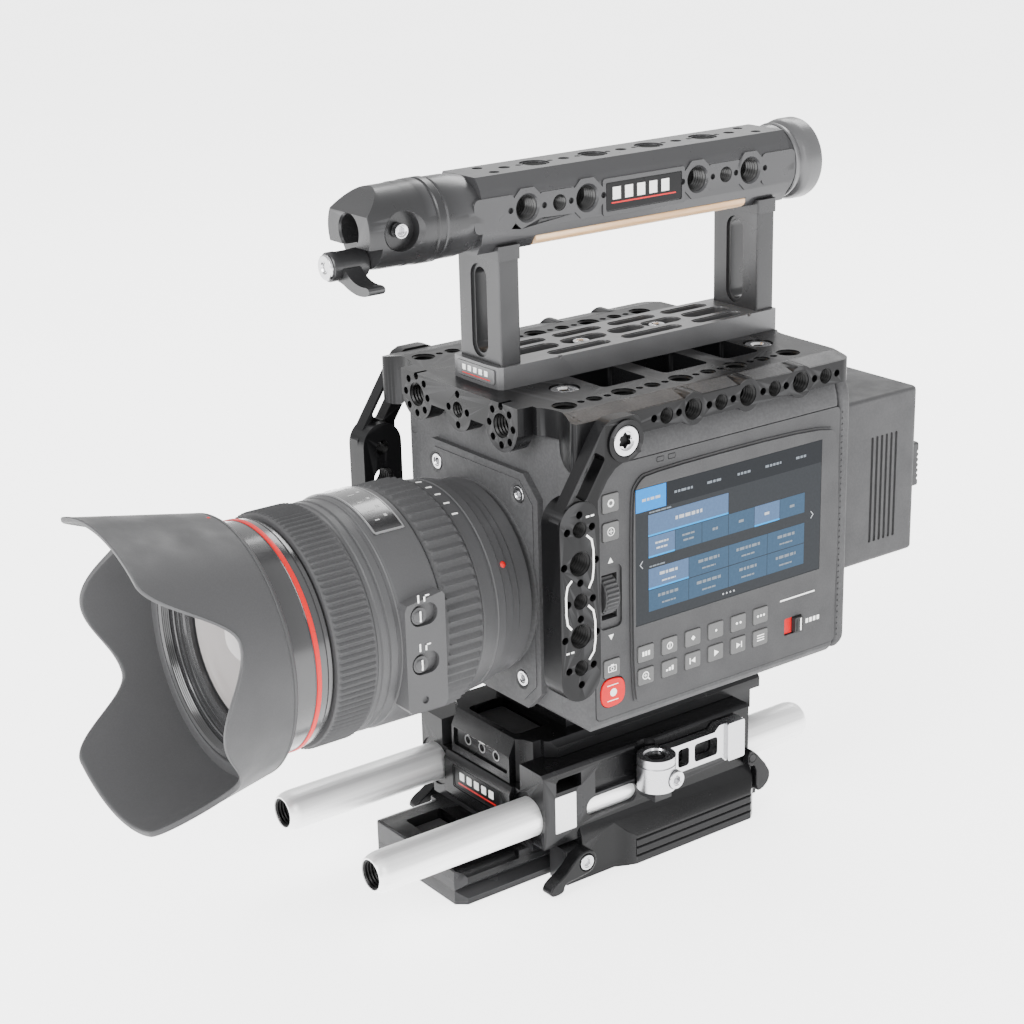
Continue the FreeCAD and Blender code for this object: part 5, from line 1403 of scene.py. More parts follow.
def make_screen():
    """The screen with a menu of tabs and tiles, whose words are plain bars."""
    back = bevelled(box("screen_plate", (54.7, 55.55), (-15.7, 73.6), (102.5, 153.3)), 0.12)
    place(back, "screen", "screen")
    layers = {"screen_bar": [], "tab": [], "tile": [], "tile_on": [], "underline": [], "screen_text": [],
              "screen_dim": []}

    def patch(key, y0, y1, z0, z1, level=1):
        layers[key].append(bar(y0, y1, z0, z1, 55.52, 55.56 + 0.03 * level))

    def words(centre, z, wide, tall, gap=0.5, key="screen_text"):
        """A short row of plain bars standing for words."""
        y = centre - wide / 2
        while y < centre + wide / 2 - 0.3:
            length = min(pick.choice((1.1, 1.7, 2.3)), centre + wide / 2 - y)
            patch(key, y, y + length, z - tall / 2, z + tall / 2, 3)
            y += length + gap

    def tile(y0, y1, z0, z1, chosen):
        """A button on the screen; gives its middle and the finish of its words."""
        margin = 0.12
        patch("tile_on" if chosen else "tile", y0 + margin, y1 - margin, z0, z1, 1)
        if chosen:
            patch("underline", y0 + margin, y1 - margin, z0, z0 + 0.6, 2)
        return (y0 + y1) / 2, "screen_text" if chosen else "screen_dim"

    pick = random.Random(7)
    header = (144.7, 153.2)
    patch("screen_bar", -15.6, 73.5, *header)
    patch("tab", -15.6, -1.9, *header, 2)
    words(-8.7, 148.9, 8.2, 1.0)
    for centre, wide in ((6.2, 8.5), (20.5, 6.5), (34.8, 6.2), (49.2, 7.8), (63.0, 5.0)):
        words(centre, 148.9, wide, 0.9, key="screen_dim")
    words(-4.6, 143.75, 10.0, 0.5, 0.3, "screen_dim")
    patch("tile_on", -10.0, 27.4, 135.3, 142.9, 1)
    patch("underline", -10.0, 27.4, 134.9, 135.5, 2)
    words(8.7, 139.2, 12.5, 1.3, 0.6)
    edges = [-10.0, 2.3, 14.9, 27.55, 40.2, 52.8, 65.4]
    for i in range(6):
        middle, ink = tile(edges[i], edges[i + 1], 126.9, 134.6, i in (0, 4))
        if i < 2:
            words(middle, 131.9, 6.0, 0.7, 0.3, ink)
            words(middle, 129.9, 5.0, 0.7, 0.3, ink)
        else:
            words(middle, 130.8, 2.6, 1.0, 0.3, ink)
    words(-6.0, 123.6, 7.0, 0.5, 0.3, "screen_dim")
    edges = [-10.0, 8.75, 27.8, 46.8, 65.5]
    for row, (z0, z1) in enumerate(((114.9, 122.7), (106.6, 114.6))):
        for i in range(4):
            middle, ink = tile(edges[i], edges[i + 1], z0, z1, row == 0 and i == 0)
            words(middle, z1 - 2.7, 8.5 + 1.5 * ((i + row) % 3), 1.1, 0.5, ink)
            words(middle, z0 + 2.2, 6.4, 0.6, 0.3, ink)
    for y, way in ((-13.2, -1), (69.2, 1)):
        points = [(y - way * 0.6, 126.5), (y + way * 0.6, 125.1), (y - way * 0.6, 123.7)]
        layers["screen_text"].append(ribbon("chevron", "yz", points, 0.28, 55.52, 55.62))
    for i in range(4):
        dot = circle(0.38, 25.3 + 1.75 * i, 104.5, 12)
        layers["screen_text"].append(prism("dot", "yz", dot, 55.52, 55.62))
    for key, pieces in layers.items():
        attach(merged(pieces, "ui_" + key), "screen", key)


make_camera_body()
make_back_cover()
make_mount_plate()
make_panel()
make_lock_slider()
make_keys()
make_small_keys()
make_record_button()
make_jog_wheel()
make_screen()


# ---- handle ----

HANDLE, FOOT_TOP, LEVER_Z = (0.0, 246.4), 193.0, 235.6


def octagon(u, v, radius):
    """An eight-sided boss's outline."""
    return circle(radius, u, v, 8, math.radians(22.5))


def make_handle_base():
    """The slotted foot of the handle with a plate of plain bars on its front."""
    w, front, rear, floor, top = 14.5, -42.4, 89.2, CAGE_TOP, FOOT_TOP
    outline = chaikin([(-w, front + 1.6), (-w + 1.6, front), (w - 2.6, front), (w, front + 2.8),
                       (w, rear - 1.2), (w - 1.2, rear), (-w + 1.2, rear), (-w, rear - 1.2)], 1, closed=True)
    base = prism("base", "xy", outline, floor, top)
    tools = []
    for level, half, spans in ((-9, 2.4, ((-24, -8), (2, 18), (28, 44), (54, 70))),
                               (0, 3.4, ((-26, -10), (0, 12), (22, 30), (38, 48), (58, 72))),
                               (9, 2.4, ((-14, 8), (20, 42), (54, 72)))):
        for low, high in spans:
            slot = [(v, u) for u, v in obround(low, high, half, level)]
            tools.append(prism("slot", "xy", slot, floor + 3, top + 1))
            rim = [(v, u) for u, v in obround(low, high, half + 0.45, level)]
            tools.append(prism("rim", "xy", rim, top - 0.45, top + 1))
    tools.append(prism("plate", "xz", rounded(-11.2, 11.2, 186.2, 192.0, 1.0), front - 1, front + 0.35))
    tools += [rod("notch", "x", 0.9, w - 1.2, w + 1, (y, top), 12) for y in (-15.5, 74.5)]
    boolean(base, tools)
    # The foot takes the handle grey painted lighter, a painted light.
    place(bevelled(base, 0.35, 2, 33), "handle_base", "handle_painted_lighter")
    base.name = "handle_foot"
    plate = prism("plate", "xz", rounded(-11.0, 11.0, 186.4, 191.8, 0.9), front + 0.05, front + 0.6)
    attach(bevelled(plate, 0.12), "handle_base", "label")
    bars = [box("bar", (-8.2 + 3.3 * i, -6.2 + 3.3 * i), (front, front + 0.1), (188.6, 190.6))
            for i in range(5)]
    attach(merged(bars, "foot_label_bars"), "handle_base", "white_print")
    line = box("foot_label_line", (-8.4, 8.4), (front, front + 0.1), (187.4, 187.7))
    attach(line, "handle_base", "red_ring")


def make_handle_posts():
    """The two slotted posts between the foot and the bar."""
    for node, low, high in (("handle_post_front", -40.0, -31.4), ("handle_post_rear", 80.0, 88.6)):
        post = prism("post", "xy", rounded(-12.5, 12.5, low, high, 0.9, 2), FOOT_TOP, 235.4)
        collar = prism("collar", "xy", rounded(-13.1, 13.1, low - 0.35, high + 0.35, 0.9, 2), 230.2, 235.4)
        boolean(post, [collar], "UNION")
        slot = [(v, u) for u, v in obround(199, 223, 3.4, 0)]
        rim = [(v, u) for u, v in obround(199, 223, 4.8, 0)]
        tools = [prism("slot", "xz", slot, low - 2, high + 2), prism("rim", "xz", rim, low - 2, low + 0.9),
                 prism("rim", "xz", rim, high - 0.9, high + 2)]
        boolean(post, tools)
        place(bevelled(post, 0.42, 2, 33), node, "handle")
        post.name = node + "_look"


def make_handle_screws():
    """The handle's screw heads and the lever's shank."""
    heads = [turned_to(screw_shape(3.2, 1.2, 1.7, dish=0.35), "z", 1, (0, y, FOOT_TOP - 0.6))
             for y in (5.0, 41.0)]
    heads.append(turned_to(screw_shape(2.6, 2.6, 1.5, dish=0.3), "x", 1, (12.5, -79, HANDLE[1])))
    cap = screw_shape(4.3, 1.0, 1.7, dish=0.3)
    heads.append(turned_to(cap, "y", -1, (0, -102.15, LEVER_Z)))
    heads.append(rod("shank", "y", 2.6, -101.4, -84, (0, LEVER_Z), 32))
    place(merged(heads, "handle_screw_heads"), "handle_screws", "screw")


SIDE_HOLES = ((-28.0, 4.4), (-14.2, 2.9), (-1.9, 4.4), (49.2, 4.4), (62.8, 2.9), (75.0, 4.4))
SIDE_HOLE_Z = HANDLE[1] + 1.0
TOP_HOLES = [-14.7 + 26 * i for i in range(4)]
SMALL_TOP_HOLES = [-27.7 + 26 * i for i in range(5)]


def handle_blank():
    """The handle's bar before its holes are cut: eight sides, round ends and bosses."""
    z = HANDLE[1]
    quarter = [(13.1, 6.2), (12.2, 9.3), (9.4, 13.2)]
    section = [(u, z + v) for u, v in quarter] + [(-u, z + v) for u, v in reversed(quarter)]
    section += [(-u, z - v) for u, v in quarter] + [(u, z - v) for u, v in reversed(quarter)]
    tube = prism("tube", "xz", section, -47, 95)
    front_end = [(-62, 0), (-62, 13.6), (-61.2, 13.9), (-60.6, 14.2), (-53.5, 14.2), (-46.5, 13.1),
                 (-44.0, 12.0), (-44.0, 0)]
    rear_end = [(93, 0), (93, 12.0), (95.0, 13.2), (97.0, 13.7), (98, 13.7), (98, 0)]
    boolean(tube, [revolved("end", profile, HANDLE, count=96) for profile in (front_end, rear_end)], "UNION")
    centre = SIDE_HOLE_Z
    bosses = []
    for side in SIDES:
        deep = reach(side, 10.5, 13.6)
        bosses += [prism("boss", "yz", octagon(y, centre, 7.5), *deep)
                   for y, radius in SIDE_HOLES if radius > 4]
        for low, high in ((-22.5, -7.4), (54.8, 69.6)):
            bosses.append(prism("link", "yz", rounded(low, high, centre - 4.6, centre + 4.6, 0.8, 2), *deep))
        for low, high in ((-50.5, -33.5), (80.6, 97.5)):
            bosses.append(prism("flank", "yz", rounded(low, high, z - 5.4, z + 6.4, 2.2), *deep))
        bosses.append(prism("seat", "yz", rounded(5.0, 43.0, z - 6.6, z + 6.6, 1.0, 2), *deep))
    return boolean(tube, bosses, "UNION")


def handle_cuts():
    """Everything cut from the handle's bar."""
    z, centre = HANDLE[1], SIDE_HOLE_Z
    tools = [box("wood", (-13, 13), (-24, 74), (z - 20, z - 9.2))]
    for y, radius in SIDE_HOLES:
        tools.append(rod("hole", "x", radius, -20, 20, (y, centre)))
        if radius > 4:
            for s in SIDES:
                sink = [(s * 12.9, 0), (s * 12.9, 4.4), (s * 13.7, 5.2), (s * 14.5, 5.2), (s * 14.5, 0)]
                tools.append(revolved("sink", sink, (y, centre), "x", 40))
            spots = [(y + s * 7.2, centre) for s in SIDES]
            tools += [rod("pin", "x", 1.1, *reach(side, 12.2, 20), p, 20) for p in spots for side in SIDES]
    for y in TOP_HOLES:
        tools.append(rod("hole", "z", 4.4, z + 5, z + 20, (0, y)))
        tools.append(rod("rim", "z", 5.4, z + 12.7, z + 20, (0, y)))
        tools += [rod("pin", "z", 1.1, z + 9, z + 20, (0, y + s * 6.9), 20) for s in SIDES]
    tools += [rod("hole", "z", 2.1, z + 5, z + 20, (0, y), 32) for y in SMALL_TOP_HOLES]
    tools += [rod("hole", "z", 1.9, z + 5, z + 20, (s * 5, y), 32) for s in SIDES for y in (-35.6, 85.3)]
    for front in (-40.0, 80.0):
        tools.append(box("post", (-12.6, 12.6), (front - 0.1, front + 8.7), (z - 20, z - 10.95)))
    seat = rounded(6.4, 41.6, z - 5.2, z + 5.2, 0.7, 2)
    tools += [prism("label", "yz", seat, *reach(side, 13.15, 15)) for side in SIDES]
    for y in (-42.5, 88.5):
        for side in SIDES:
            across = [(side * u, z + v) for u, v in ((11.2, 14.6), (14.4, 10.0), (13.0, 8.6), (10.4, 12.6))]
            tools.append(prism("nick", "xz", across, y - 0.7, y + 0.7))
    return tools


def make_handle_tube():
    """The handle's bar."""
    tube = boolean(handle_blank(), handle_cuts())
    place(bevelled(tube, 0.32, 2, 28), "handle_tube", "handle")
    tube.name = "handle_bar"


def make_handle_threads():
    """The thread turns in the bar's holes."""
    z = HANDLE[1]
    rings = []
    for y, radius in SIDE_HOLES:
        mouth = 12.9 if radius > 4 else 13.6
        rings += [thread("x", side, (y, SIDE_HOLE_Z), side * mouth, radius, 8.0) for side in SIDES]
    rings += [thread("z", 1, (0, y), z + 12.7, 4.4, 6.6) for y in TOP_HOLES]
    rings += [thread("z", 1, (0, y), z + 13.2, 2.1, 6.6) for y in SMALL_TOP_HOLES]
    attach(merged(rings, "handle_threads"), "handle_tube", "handle_bore")


def make_handle_plates():
    """The plates of plain bars on the bar's two sides."""
    z = HANDLE[1]
    for side in SIDES:
        name = "right" if side > 0 else "left"
        x = reach(side, 13.0, 13.4)
        plate = bevelled(prism("plate", "yz", rounded(6.7, 41.3, z - 4.9, z + 4.9, 0.6, 2), *x), 0.14)
        plate.name = "handle_plate_" + name
        attach(plate, "handle_tube", "anodised")
        x = reach(side, 13.35, 13.46)
        bars = [box("bar", x, (9.6 + 5.6 * i, 13.2 + 5.6 * i), (z - 1.2, z + 3.2)) for i in range(5)]
        attach(merged(bars, "handle_bars_" + name), "handle_tube", "white_print")
        line = box("handle_line_" + name, x, (9.0, 38.8), (z - 2.6, z - 2.1))
        attach(line, "handle_tube", "red_ring")


def make_grip():
    """The wooden grip under the bar, with finger scoops."""
    z = HANDLE[1]
    grip_low, grip_high = z - 14.0, z - 9.3
    profile = chaikin([(-12.4, grip_high), (-12.4, z - 11.4), (-9.8, z - 13.0), (-5, grip_low), (5, grip_low),
                       (9.8, z - 13.0), (12.4, z - 11.4), (12.4, grip_high)], 1)
    grip = prism("grip", "xz", profile, -23.8, 73.8)
    scoops = [rod("scoop", "x", 26.0, -20, 20, (y, z - 39.4), 96) for y in (-11, 12.5, 36, 59.5)]
    boolean(grip, scoops)
    place(bevelled(grip, 0.5, 3, 33), "handle_grip", "wood")
    grip.name = "wood_grip"


def make_handle_cap():
    """The rear end cap."""
    cap = [(98, 0), (98, 14.0), (98.6, 14.3), (99.6, 14.2), (100.2, 13.7), (100.8, 13.7), (101.6, 14.5),
           (102.4, 14.9), (104.0, 15.3), (105.0, 15.4), (109.4, 15.4), (110.3, 15.1), (111.0, 14.3),
           (111.0, 12.4), (110.3, 11.8), (110.3, 3.4), (109.6, 2.8), (109.6, 0)]
    # The end cap takes the handle grey painted lighter, a painted light.
    place(smooth(revolved("end_cap", cap, HANDLE, count=128), 30), "handle_cap", "handle_painted_lighter")


def make_handle_head():
    """The round head at the front, with its socket."""
    z = HANDLE[1]
    profile = [(-92, 0), (-92, 12.9), (-91.6, 13.2), (-84, 14.0), (-75.0, 14.1), (-74.6, 14.3), (-70, 14.3),
               (-69.6, 14.5), (-66.4, 14.6), (-66.0, 14.1), (-65.2, 14.1), (-64.8, 14.6), (-62.5, 14.6),
               (-62, 14.3), (-62, 0)]
    head = revolved("head", profile, HANDLE, count=128)
    brow = [(-93, z + 5.4), (-92, z + 6.1), (-84.5, z + 13), (-83, z + 14), (-83, z + 18), (-93, z + 18)]
    tools = [rod("eye", "y", 5.7, -93, -78, HANDLE, 64), rod("pocket", "x", 6.8, 9.0, 20, (-79, z), 64),
             revolved("sink", [(-93, 0), (-93, 6.6), (-92, 6.3), (-91.2, 5.7), (-90, 5.6), (-90, 0)],
                      HANDLE, count=64),
             prism("brow", "yz", brow, -20, 20), box("chin", (-20, 20), (-93, -87), (z - 20, 241.6)),
             revolved("sink", [(12.6, 0), (12.6, 6.8), (14.6, 8.6), (16, 8.6), (16, 0)], (-79, z), "x", 64)]
    boolean(head, tools)
    place(bevelled(head, 0.3, 2, 30), "handle_head", "handle")
    head.name = "handle_nose"


def make_handle_lever():
    """The lever that turns under the head."""
    level = LEVER_Z
    hub = revolved("hub", [(-101, 0), (-101, 4.6), (-100.6, 5.0), (-98.2, 5.0), (-97.8, 4.8), (-91, 4.8),
                           (-90.6, 5.0), (-87.4, 5.0), (-87.4, 0)], (0, level), count=64)
    arm_line = chaikin([(-1, level - 4.8), (4.6, level + 0.6), (7.0, 233.8), (10.4, 231.8), (14.6, 231.0),
                        (19.8, 231.3), (19.7, 228.5), (13.6, 227.5), (7.6, 228.5),
                        (3.6, 230.2)], 2, closed=True)
    arm = prism("arm", "xz", arm_line, -97.6, -91.2)
    boolean(hub, [arm], "UNION")
    boolean(hub, [rod("hole", "y", 2.66, -102, -86, (0, level), 48)])
    place(bevelled(hub, 0.35, 2, 33), "handle_lever", "handle")
    hub.name = "head_lever"


make_handle_base()
make_handle_posts()
make_handle_screws()
make_handle_tube()
make_handle_threads()
make_handle_plates()
make_grip()
make_handle_cap()
make_handle_head()
make_handle_lever()


# ---- baseplate ----

ROD_X, ROD_Z = 30.0, 27.4
BRIDGE_HALF = 39.0
LOCK_PIVOT, RELEASE_PIN = (45.6, 1.8), (52.8, 25.3)
CLAMP_PAD = {"y": (-40.6, -30.9), "z": (21.7, 36.5)}
NOSE_BACK = -47.4


def mirror_pair(shape, right, left, key):
    """Places a shape for the +X node and its mirror image for the -X node."""
    other = mirror_copy(shape, left + "_look")
    place(shape, right, key)
    place(other, left, key)


def make_rods():
    """The two rods and the threads in their ends."""
    front, rear = -115.0, 88.0
    profile = [(front, 5.6), (front, 6.05), (front + 0.6, 6.55), (front + 2.0, 7.15), (front + 4.2, 7.5),
               (rear - 4.2, 7.5), (rear - 2.0, 7.15), (rear - 0.6, 6.55), (rear, 6.05), (rear, 5.6)]
    for node, x in (("rod_right", ROD_X), ("rod_left", -ROD_X)):
        tube = smooth(revolved(node + "_tube", profile, (x, ROD_Z), count=96), 40)
        place(tube, node, "rod")
        lining = [thread("y", way, (x, ROD_Z), y, 5.6, 14.0, blind=False)
                  for y, way in ((front, -1), (rear, 1))]
        lining.append(revolved("lining", [(front + 13, 5.45), (front + 13, 5.62), (rear - 13, 5.62),
                                          (rear - 13, 5.45)], (x, ROD_Z), count=48))
        attach(merged(lining, node + "_lining"), node, "bore")


def make_dovetail():
    """The plate that stands on the floor or on a tripod."""
    w, top = 28.6, 14.0
    half = [(w, 0), (w, 2.5), (w - 3.2, 5.5), (w, 8.5), (w, top)]
    section = half + [(-x, z) for x, z in reversed(half)]
    plate = prism("dovetail", "xz", section, -77, 68)
    tools = []
    for side in SIDES:
        edge = side * w
        tools.append(prism("corner", "xy", [(edge - side * 4, -78), (edge + side, -78), (edge + side, -72)],
                           -1, 20))
        scoop = [(edge - side * 5.6, top + 1), (edge - side * 5.6, top)]
        scoop += [(edge - side * (5.6 - 6 * math.sin(a)), top - 4.6 * (1 - math.cos(a)))
                  for a in (0.3, 0.6, 0.9, 1.2, 1.5)]
        scoop.append((edge + side, top + 1))
        tools.append(prism("scoop", "xz", scoop, -79, -50))
    tools.append(prism("recess", "xy", rounded(-18, 18, -69, -53, 1.4), 10, 16))
    tools.append(prism("bevel", "yz", [(-78, 12.2), (-75.2, 15), (-78, 15)], -40, 40))
    tools.append(rod("thread", "z", 3.97, -1, 10, (0, 0)))
    tools += [rod("stud", "z", 2.3, -1, 10, (0, y), 32) for y in (-25, 25)]
    boolean(plate, tools)
    place(bevelled(plate, 0.6, 3, 33), "dovetail_plate", "base_metal")
    tag = bevelled(prism("dovetail_inlay", "xy", rounded(-17.2, 17.2, -68.2, -53.8, 0.8), 9.8, 10.3), 0.12)
    attach(tag, "dovetail_plate", "rubber")
    attach(thread("z", -1, (0, 0), 0.0, 3.97, 10.0), "dovetail_plate", "bore")


def make_bridge():
    """The plate that holds the rods, with the post of the lock lever and the pin of the release tab."""
    w = BRIDGE_HALF
    half = [(32, 14), (32, 17), (w, 17), (w, 45.5), (w - 1.2, 46.7), (25, 46.7), (25, 36)]
    section = half + [(-x, z) for x, z in reversed(half)]
    body = prism("bridge", "xz", section, -46, 54)
    nose_line = [(-48.2, 19), (-46.2, 16), (-45, 16), (-45, 36), (-46.7, 36), (-48.2, 33)]
    nose = prism("nose", "yz", nose_line, -21, 21)
    joined = [nose, box("shelf", (38, 49.6), (-2.2, 5.8), (26.6, 30.2)),
              rod("post", "z", 3.2, 27, 42.6, LOCK_PIVOT), rod("pin", "x", 1.6, 38, 43.1, RELEASE_PIN, 32)]
    boolean(body, joined, "UNION")
    tools = [rod("bore", "y", 7.56, -50, 56, (side * ROD_X, ROD_Z), 96) for side in SIDES]
    hub = rod("hub", "z", 8.3, 30.3, 47.7, LOCK_PIVOT, 96)
    tools.append(boolean(hub, [rod("keep", "z", 3.2, 30, 48, LOCK_PIVOT)]))
    tools.append(prism("pocket", "yz", [(-22, 32.6), (-22, 41.6), (-18.8, 45), (3, 45), (3, 32.6)], 37, 40))
    window = rounded(-26, -2, 23.4, 31.4, 3.9)
    slot = [(-40, 38.2), (-28.5, 38.2), (-28.5, 43.4), (-38.8, 43.4), (-40, 42.2)]
    for side in SIDES:
        face = side * w
        tools.append(prism("window", "yz", window, *reach(side, w - 2.6, w + 1)))
        tools.append(prism("slot", "yz", slot, *reach(side, w - 9, w + 1)))
        tools.append(box("pad", (face - side, face + side), CLAMP_PAD["y"], CLAMP_PAD["z"]))
        tools.append(prism("lip", "xz", circle(9.6, side * ROD_X, ROD_Z, 64), -46.6, -45.4))
    tools.append(prism("label", "xz", rounded(-15.4, 15.4, 22.8, 32.4, 1.0), -49.2, NOSE_BACK))
    boolean(body, tools)
    place(bevelled(body, 0.5, 3, 33), "bridge_plate", "base_metal")


def make_nose_plate():
    """The blank plate on the bridge's nose, with five plain bars and a line."""
    rim = boolean(prism("nose_plate", "xz", rounded(-15.1, 15.1, 23.1, 32.1, 1.0), -48.15, NOSE_BACK),
                  [prism("face", "xz", rounded(-14.6, 14.6, 23.6, 31.6, 0.7), -49, -47.9)])
    place(bevelled(rim, 0.12), "front_blank_plate", "anodised")
    bars = [prism("bar", "xz", rounded(-11.2 + 4.7 * i, -8.2 + 4.7 * i, 27.0, 30.2, 0.3, 2), -48.0, -47.8)
            for i in range(5)]
    attach(merged(bars, "nose_bars"), "front_blank_plate", "white_print")
    attach(box("nose_line", (-12, 12), (-48.0, -47.8), (25.0, 25.6)), "front_blank_plate", "red_ring")


def make_camera_plate():
    """The plate that slides in the bridge and carries the camera."""
    w = 24.7
    side_view = [(-46, 36.2), (-46, 47), (-43, 53.4), (68, 53.4), (68, 36.2)]
    slide = prism("slide", "yz", side_view, -w, w)
    wings = box("wings", (-30, 30), (-36, 68), (47, 53.4))
    riser = box("riser", (-22, 22), (-22, 62), (50, 65.4))
    boolean(slide, [wings, riser], "UNION")
    tools = []
    for side in SIDES:
        shoulder = [(side * 18.4, -47), (side * 31, -47), (side * 31, -39.5), (side * w, -39.5),
                    (side * 21, -41), (side * 18.4, -43)]
        tools.append(prism("shoulder", "xy", shoulder, 35, 55))
        wing_corner = [(side * 31, -37), (side * 26, -37), (side * 31, -31)]
        tools.append(prism("wing_corner", "xy", wing_corner, 46, 55))
        tools.append(prism("wing_bevel", "xz", [(side * 28, 53.5), (side * 30.1, 50.8), (side * 31, 54)],
                           -40, 70))
    tools.append(prism("pocket", "xy", rounded(-15.5, 15.5, -40.5, -24, 2.2), 49.4, 55))
    tools.append(prism("front", "xz", rounded(-17, 17, 39.5, 46.6, 0.9), -47, -45))
    holes = [(x, 43.6) for x in (-9, 0, 9)]
    tools += [rod("hole", "y", 1.6, -46, -39, hole, 32) for hole in holes]
    boolean(slide, tools)
    place(bevelled(slide, 0.5, 3, 33), "camera_plate", "base_metal")
    lines = [ribbon("line", "xz", [(-9, 45.1), (-9, 46.0), (9, 46.0), (9, 45.1)], 0.4, -45.05, -44.9),
             box("dash", (-2.0, 2.0), (-45.08, -44.9), (45.6, 46.4))]
    attach(merged(lines, "slide_guide_lines"), "camera_plate", "white_print")
    rim = [(-45.12, 1.55), (-45.12, 2.0), (-44.9, 2.1), (-44.9, 1.55)]
    rings = [revolved("ring", rim, hole, count=32) for hole in holes]
    attach(smooth(merged(rings, "slide_hole_rings"), 30), "camera_plate", "rim_grey")
    rings = [thread("y", -1, hole, -45.0, 1.6, 5.0) for hole in holes]
    attach(merged(rings, "slide_threads"), "camera_plate", "bore")
    pad = bevelled(prism("slide_inlay", "xy", rounded(-14.9, 14.9, -39.9, -24.6, 1.8), 49.2, 49.9), 0.2)
    attach(pad, "camera_plate", "rubber")


def make_rails():
    """The grooved rails on both sides of the dovetail plate."""
    section = [(30, 0), (44, 0), (44, 11.7), (39, 21.5), (39, 17), (32, 17), (32, 14), (30, 14)]
    rail = prism("side_rail_right_look", "xz", section, -29.8, 54.4)
    boolean(rail, [box("block", (30, 40.5), (-37, -28.8), (0, 14))], "UNION")
    relief = [(40.5, -31), (45, -31), (45, -6.5), (44, -6.5), (42.5, -10.5), (40.5, -14.5)]
    tools = [prism("relief", "xy", relief, -1, 25)]
    for level in (3.0, 6.4, 9.8):
        tools.append(prism("groove", "yz", rounded(-6.4, 60, level, level + 0.8, 0.3, 2), 43.2, 45))
    tools.append(prism("rear_corner", "xy", [(45, 55), (41, 55), (45, 50)], -1, 25))
    boolean(rail, tools)
    mirror_pair(bevelled(rail, 0.4, 3, 33), "side_rail_right", "side_rail_left", "base_metal")


def make_rod_levers():
    """The levers that clamp the rods, their screws and the pads they press."""
    y, z = -32.0, 10.6
    outline = chaikin([(y - 16.5, z - 5.2), (y - 17.2, z - 9.2), (y - 10.6, z - 9.2), (y - 10.2, z - 5.6),
                       (y - 3, z - 5.2), (y + 2.6, z - 4.4), (y + 4.9, z - 0.6), (y + 3.8, z + 3.6),
                       (y - 0.4, z + 5.2), (y - 4.8, z + 3.0), (y - 9.4, z - 1.8)], 2, True)
    lever = prism("rod_lever_right_look", "yz", outline, 40.8, 46.4)
    boolean(lever, [rod("shank", "x", 2.1, 40, 48, (y, z), 32), rod("seat", "x", 3.3, 45.0, 48, (y, z), 48)])
    mirror_pair(bevelled(lever, 0.9, 4, 33), "rod_lever_right", "rod_lever_left", "base_metal")
    pieces = []
    for side in SIDES:
        pieces.append(turned_to(screw_shape(3.0, 2.4, 1.6), "x", side, (side * 46.7, y, z)))
        pieces.append(rod("shank", "x", 2.0, *reach(side, 32, 45.6), (y, z), 32))
    place(smooth(merged(pieces, "rod_lever_screws"), 30), "rod_clamp_fittings", "screw")
    face = rounded(*CLAMP_PAD["y"], *CLAMP_PAD["z"], 0.5, 3)
    pads = [bevelled(prism("pad", "yz", face, *reach(side, 38, 39.1)), 0.2) for side in SIDES]
    attach(merged(pads, "clamp_pads"), "rod_clamp_fittings", "clamp_pad")


def make_lock():
    """The bright lever that locks the camera plate."""
    (x, y), low, high, radius = LOCK_PIVOT, 30.6, 43.8, 7.3
    hub = rod("lock_lever_body", "z", radius, low, high, (x, y), 128)
    arm_side = [(y, low + 0.6), (y + 34, low + 0.6), (y + 36, low - 1.4), (46.6, low - 1.4), (46.6, high + 1),
                (y + 33, high + 1), (y + 30.5, high - 1.2), (y + 12, high - 1.2), (y, high - 0.6)]
    arm = prism("arm", "yz", arm_side, 39.5, 43.7)
    pad = prism("pad", "yz", rounded(38.1, 46.6, low - 1.4, high + 1, 0.8, 3), 39.5, 45.0)
    boolean(hub, [arm, pad], "UNION")
    tools = [rod("pivot", "z", 3.26, low - 1, high + 1, (x, y), 64),
             revolved("mouth", [(high - 0.8, 0.0), (high - 0.8, 4.6), (high, 4.9), (high + 0.3, 5.2),
                                (high + 0.3, 0.0)],
                      (x, y), "z", 64)]
    for start, end in ((y + 12.3, y + 17.8), (y + 20.5, y + 32.0)):
        tools.append(prism("window", "yz", rounded(start, end, low + 2.6, high - 3.2, 1.3, 4), 38, 46))
    tools.append(rod("seat", "x", 3.75, 50.9, 60, (y + 3.4, low + 4.4), 64))
    groove = boolean(rod("outer", "z", radius + 1, high - 3.6, high - 3.0, (x, y), 128),
                     [rod("core", "z", radius - 0.5, high - 4, high - 2, (x, y), 128)])
    tools.append(groove)
    boolean(hub, tools)
    place(bevelled(hub, 0.32, 3, 33), "lock_lever", "steel")
    cap = revolved("pivot_cap", [(high - 2.6, 0.0), (high - 2.6, 1.5), (high - 1.4, 1.7), (high - 1.3, 3.1),
                                 (high - 2.6, 3.15), (high - 4.4, 3.15), (high - 4.4, 0.0)], (x, y), "z", 48)
    attach(smooth(cap, 30), "bridge_plate", "screw")
    head = turned_to(screw_shape(3.5, 3.0, 1.7), "x", 1, (x + radius + 0.8, y + 3.4, low + 4.4))
    head.name = "lock_screw_head"
    place(smooth(head, 30), "lock_lever_screw", "screw")


def make_release_tab():
    """The tab that lets the camera plate out."""
    outline = chaikin([(50.6, 21.9), (50.6, 28), (53, 29), (61.8, 18.4), (62.0, 13.5), (58.2, 10.2),
                       (54.9, 10.4), (54.9, 21.9)], 1, True)
    tab = prism("release_tab_look", "yz", outline, 39.5, 43.1)
    boolean(tab, [rod("hole", "x", 1.68, 38, 45, RELEASE_PIN, 32)])
    place(bevelled(tab, 0.6, 3, 33), "release_tab", "base_metal")


make_rods()
make_dovetail()
make_bridge()
make_nose_plate()
make_camera_plate()
make_rails()
make_rod_levers()
make_lock()
make_release_tab()


# ---- battery ----

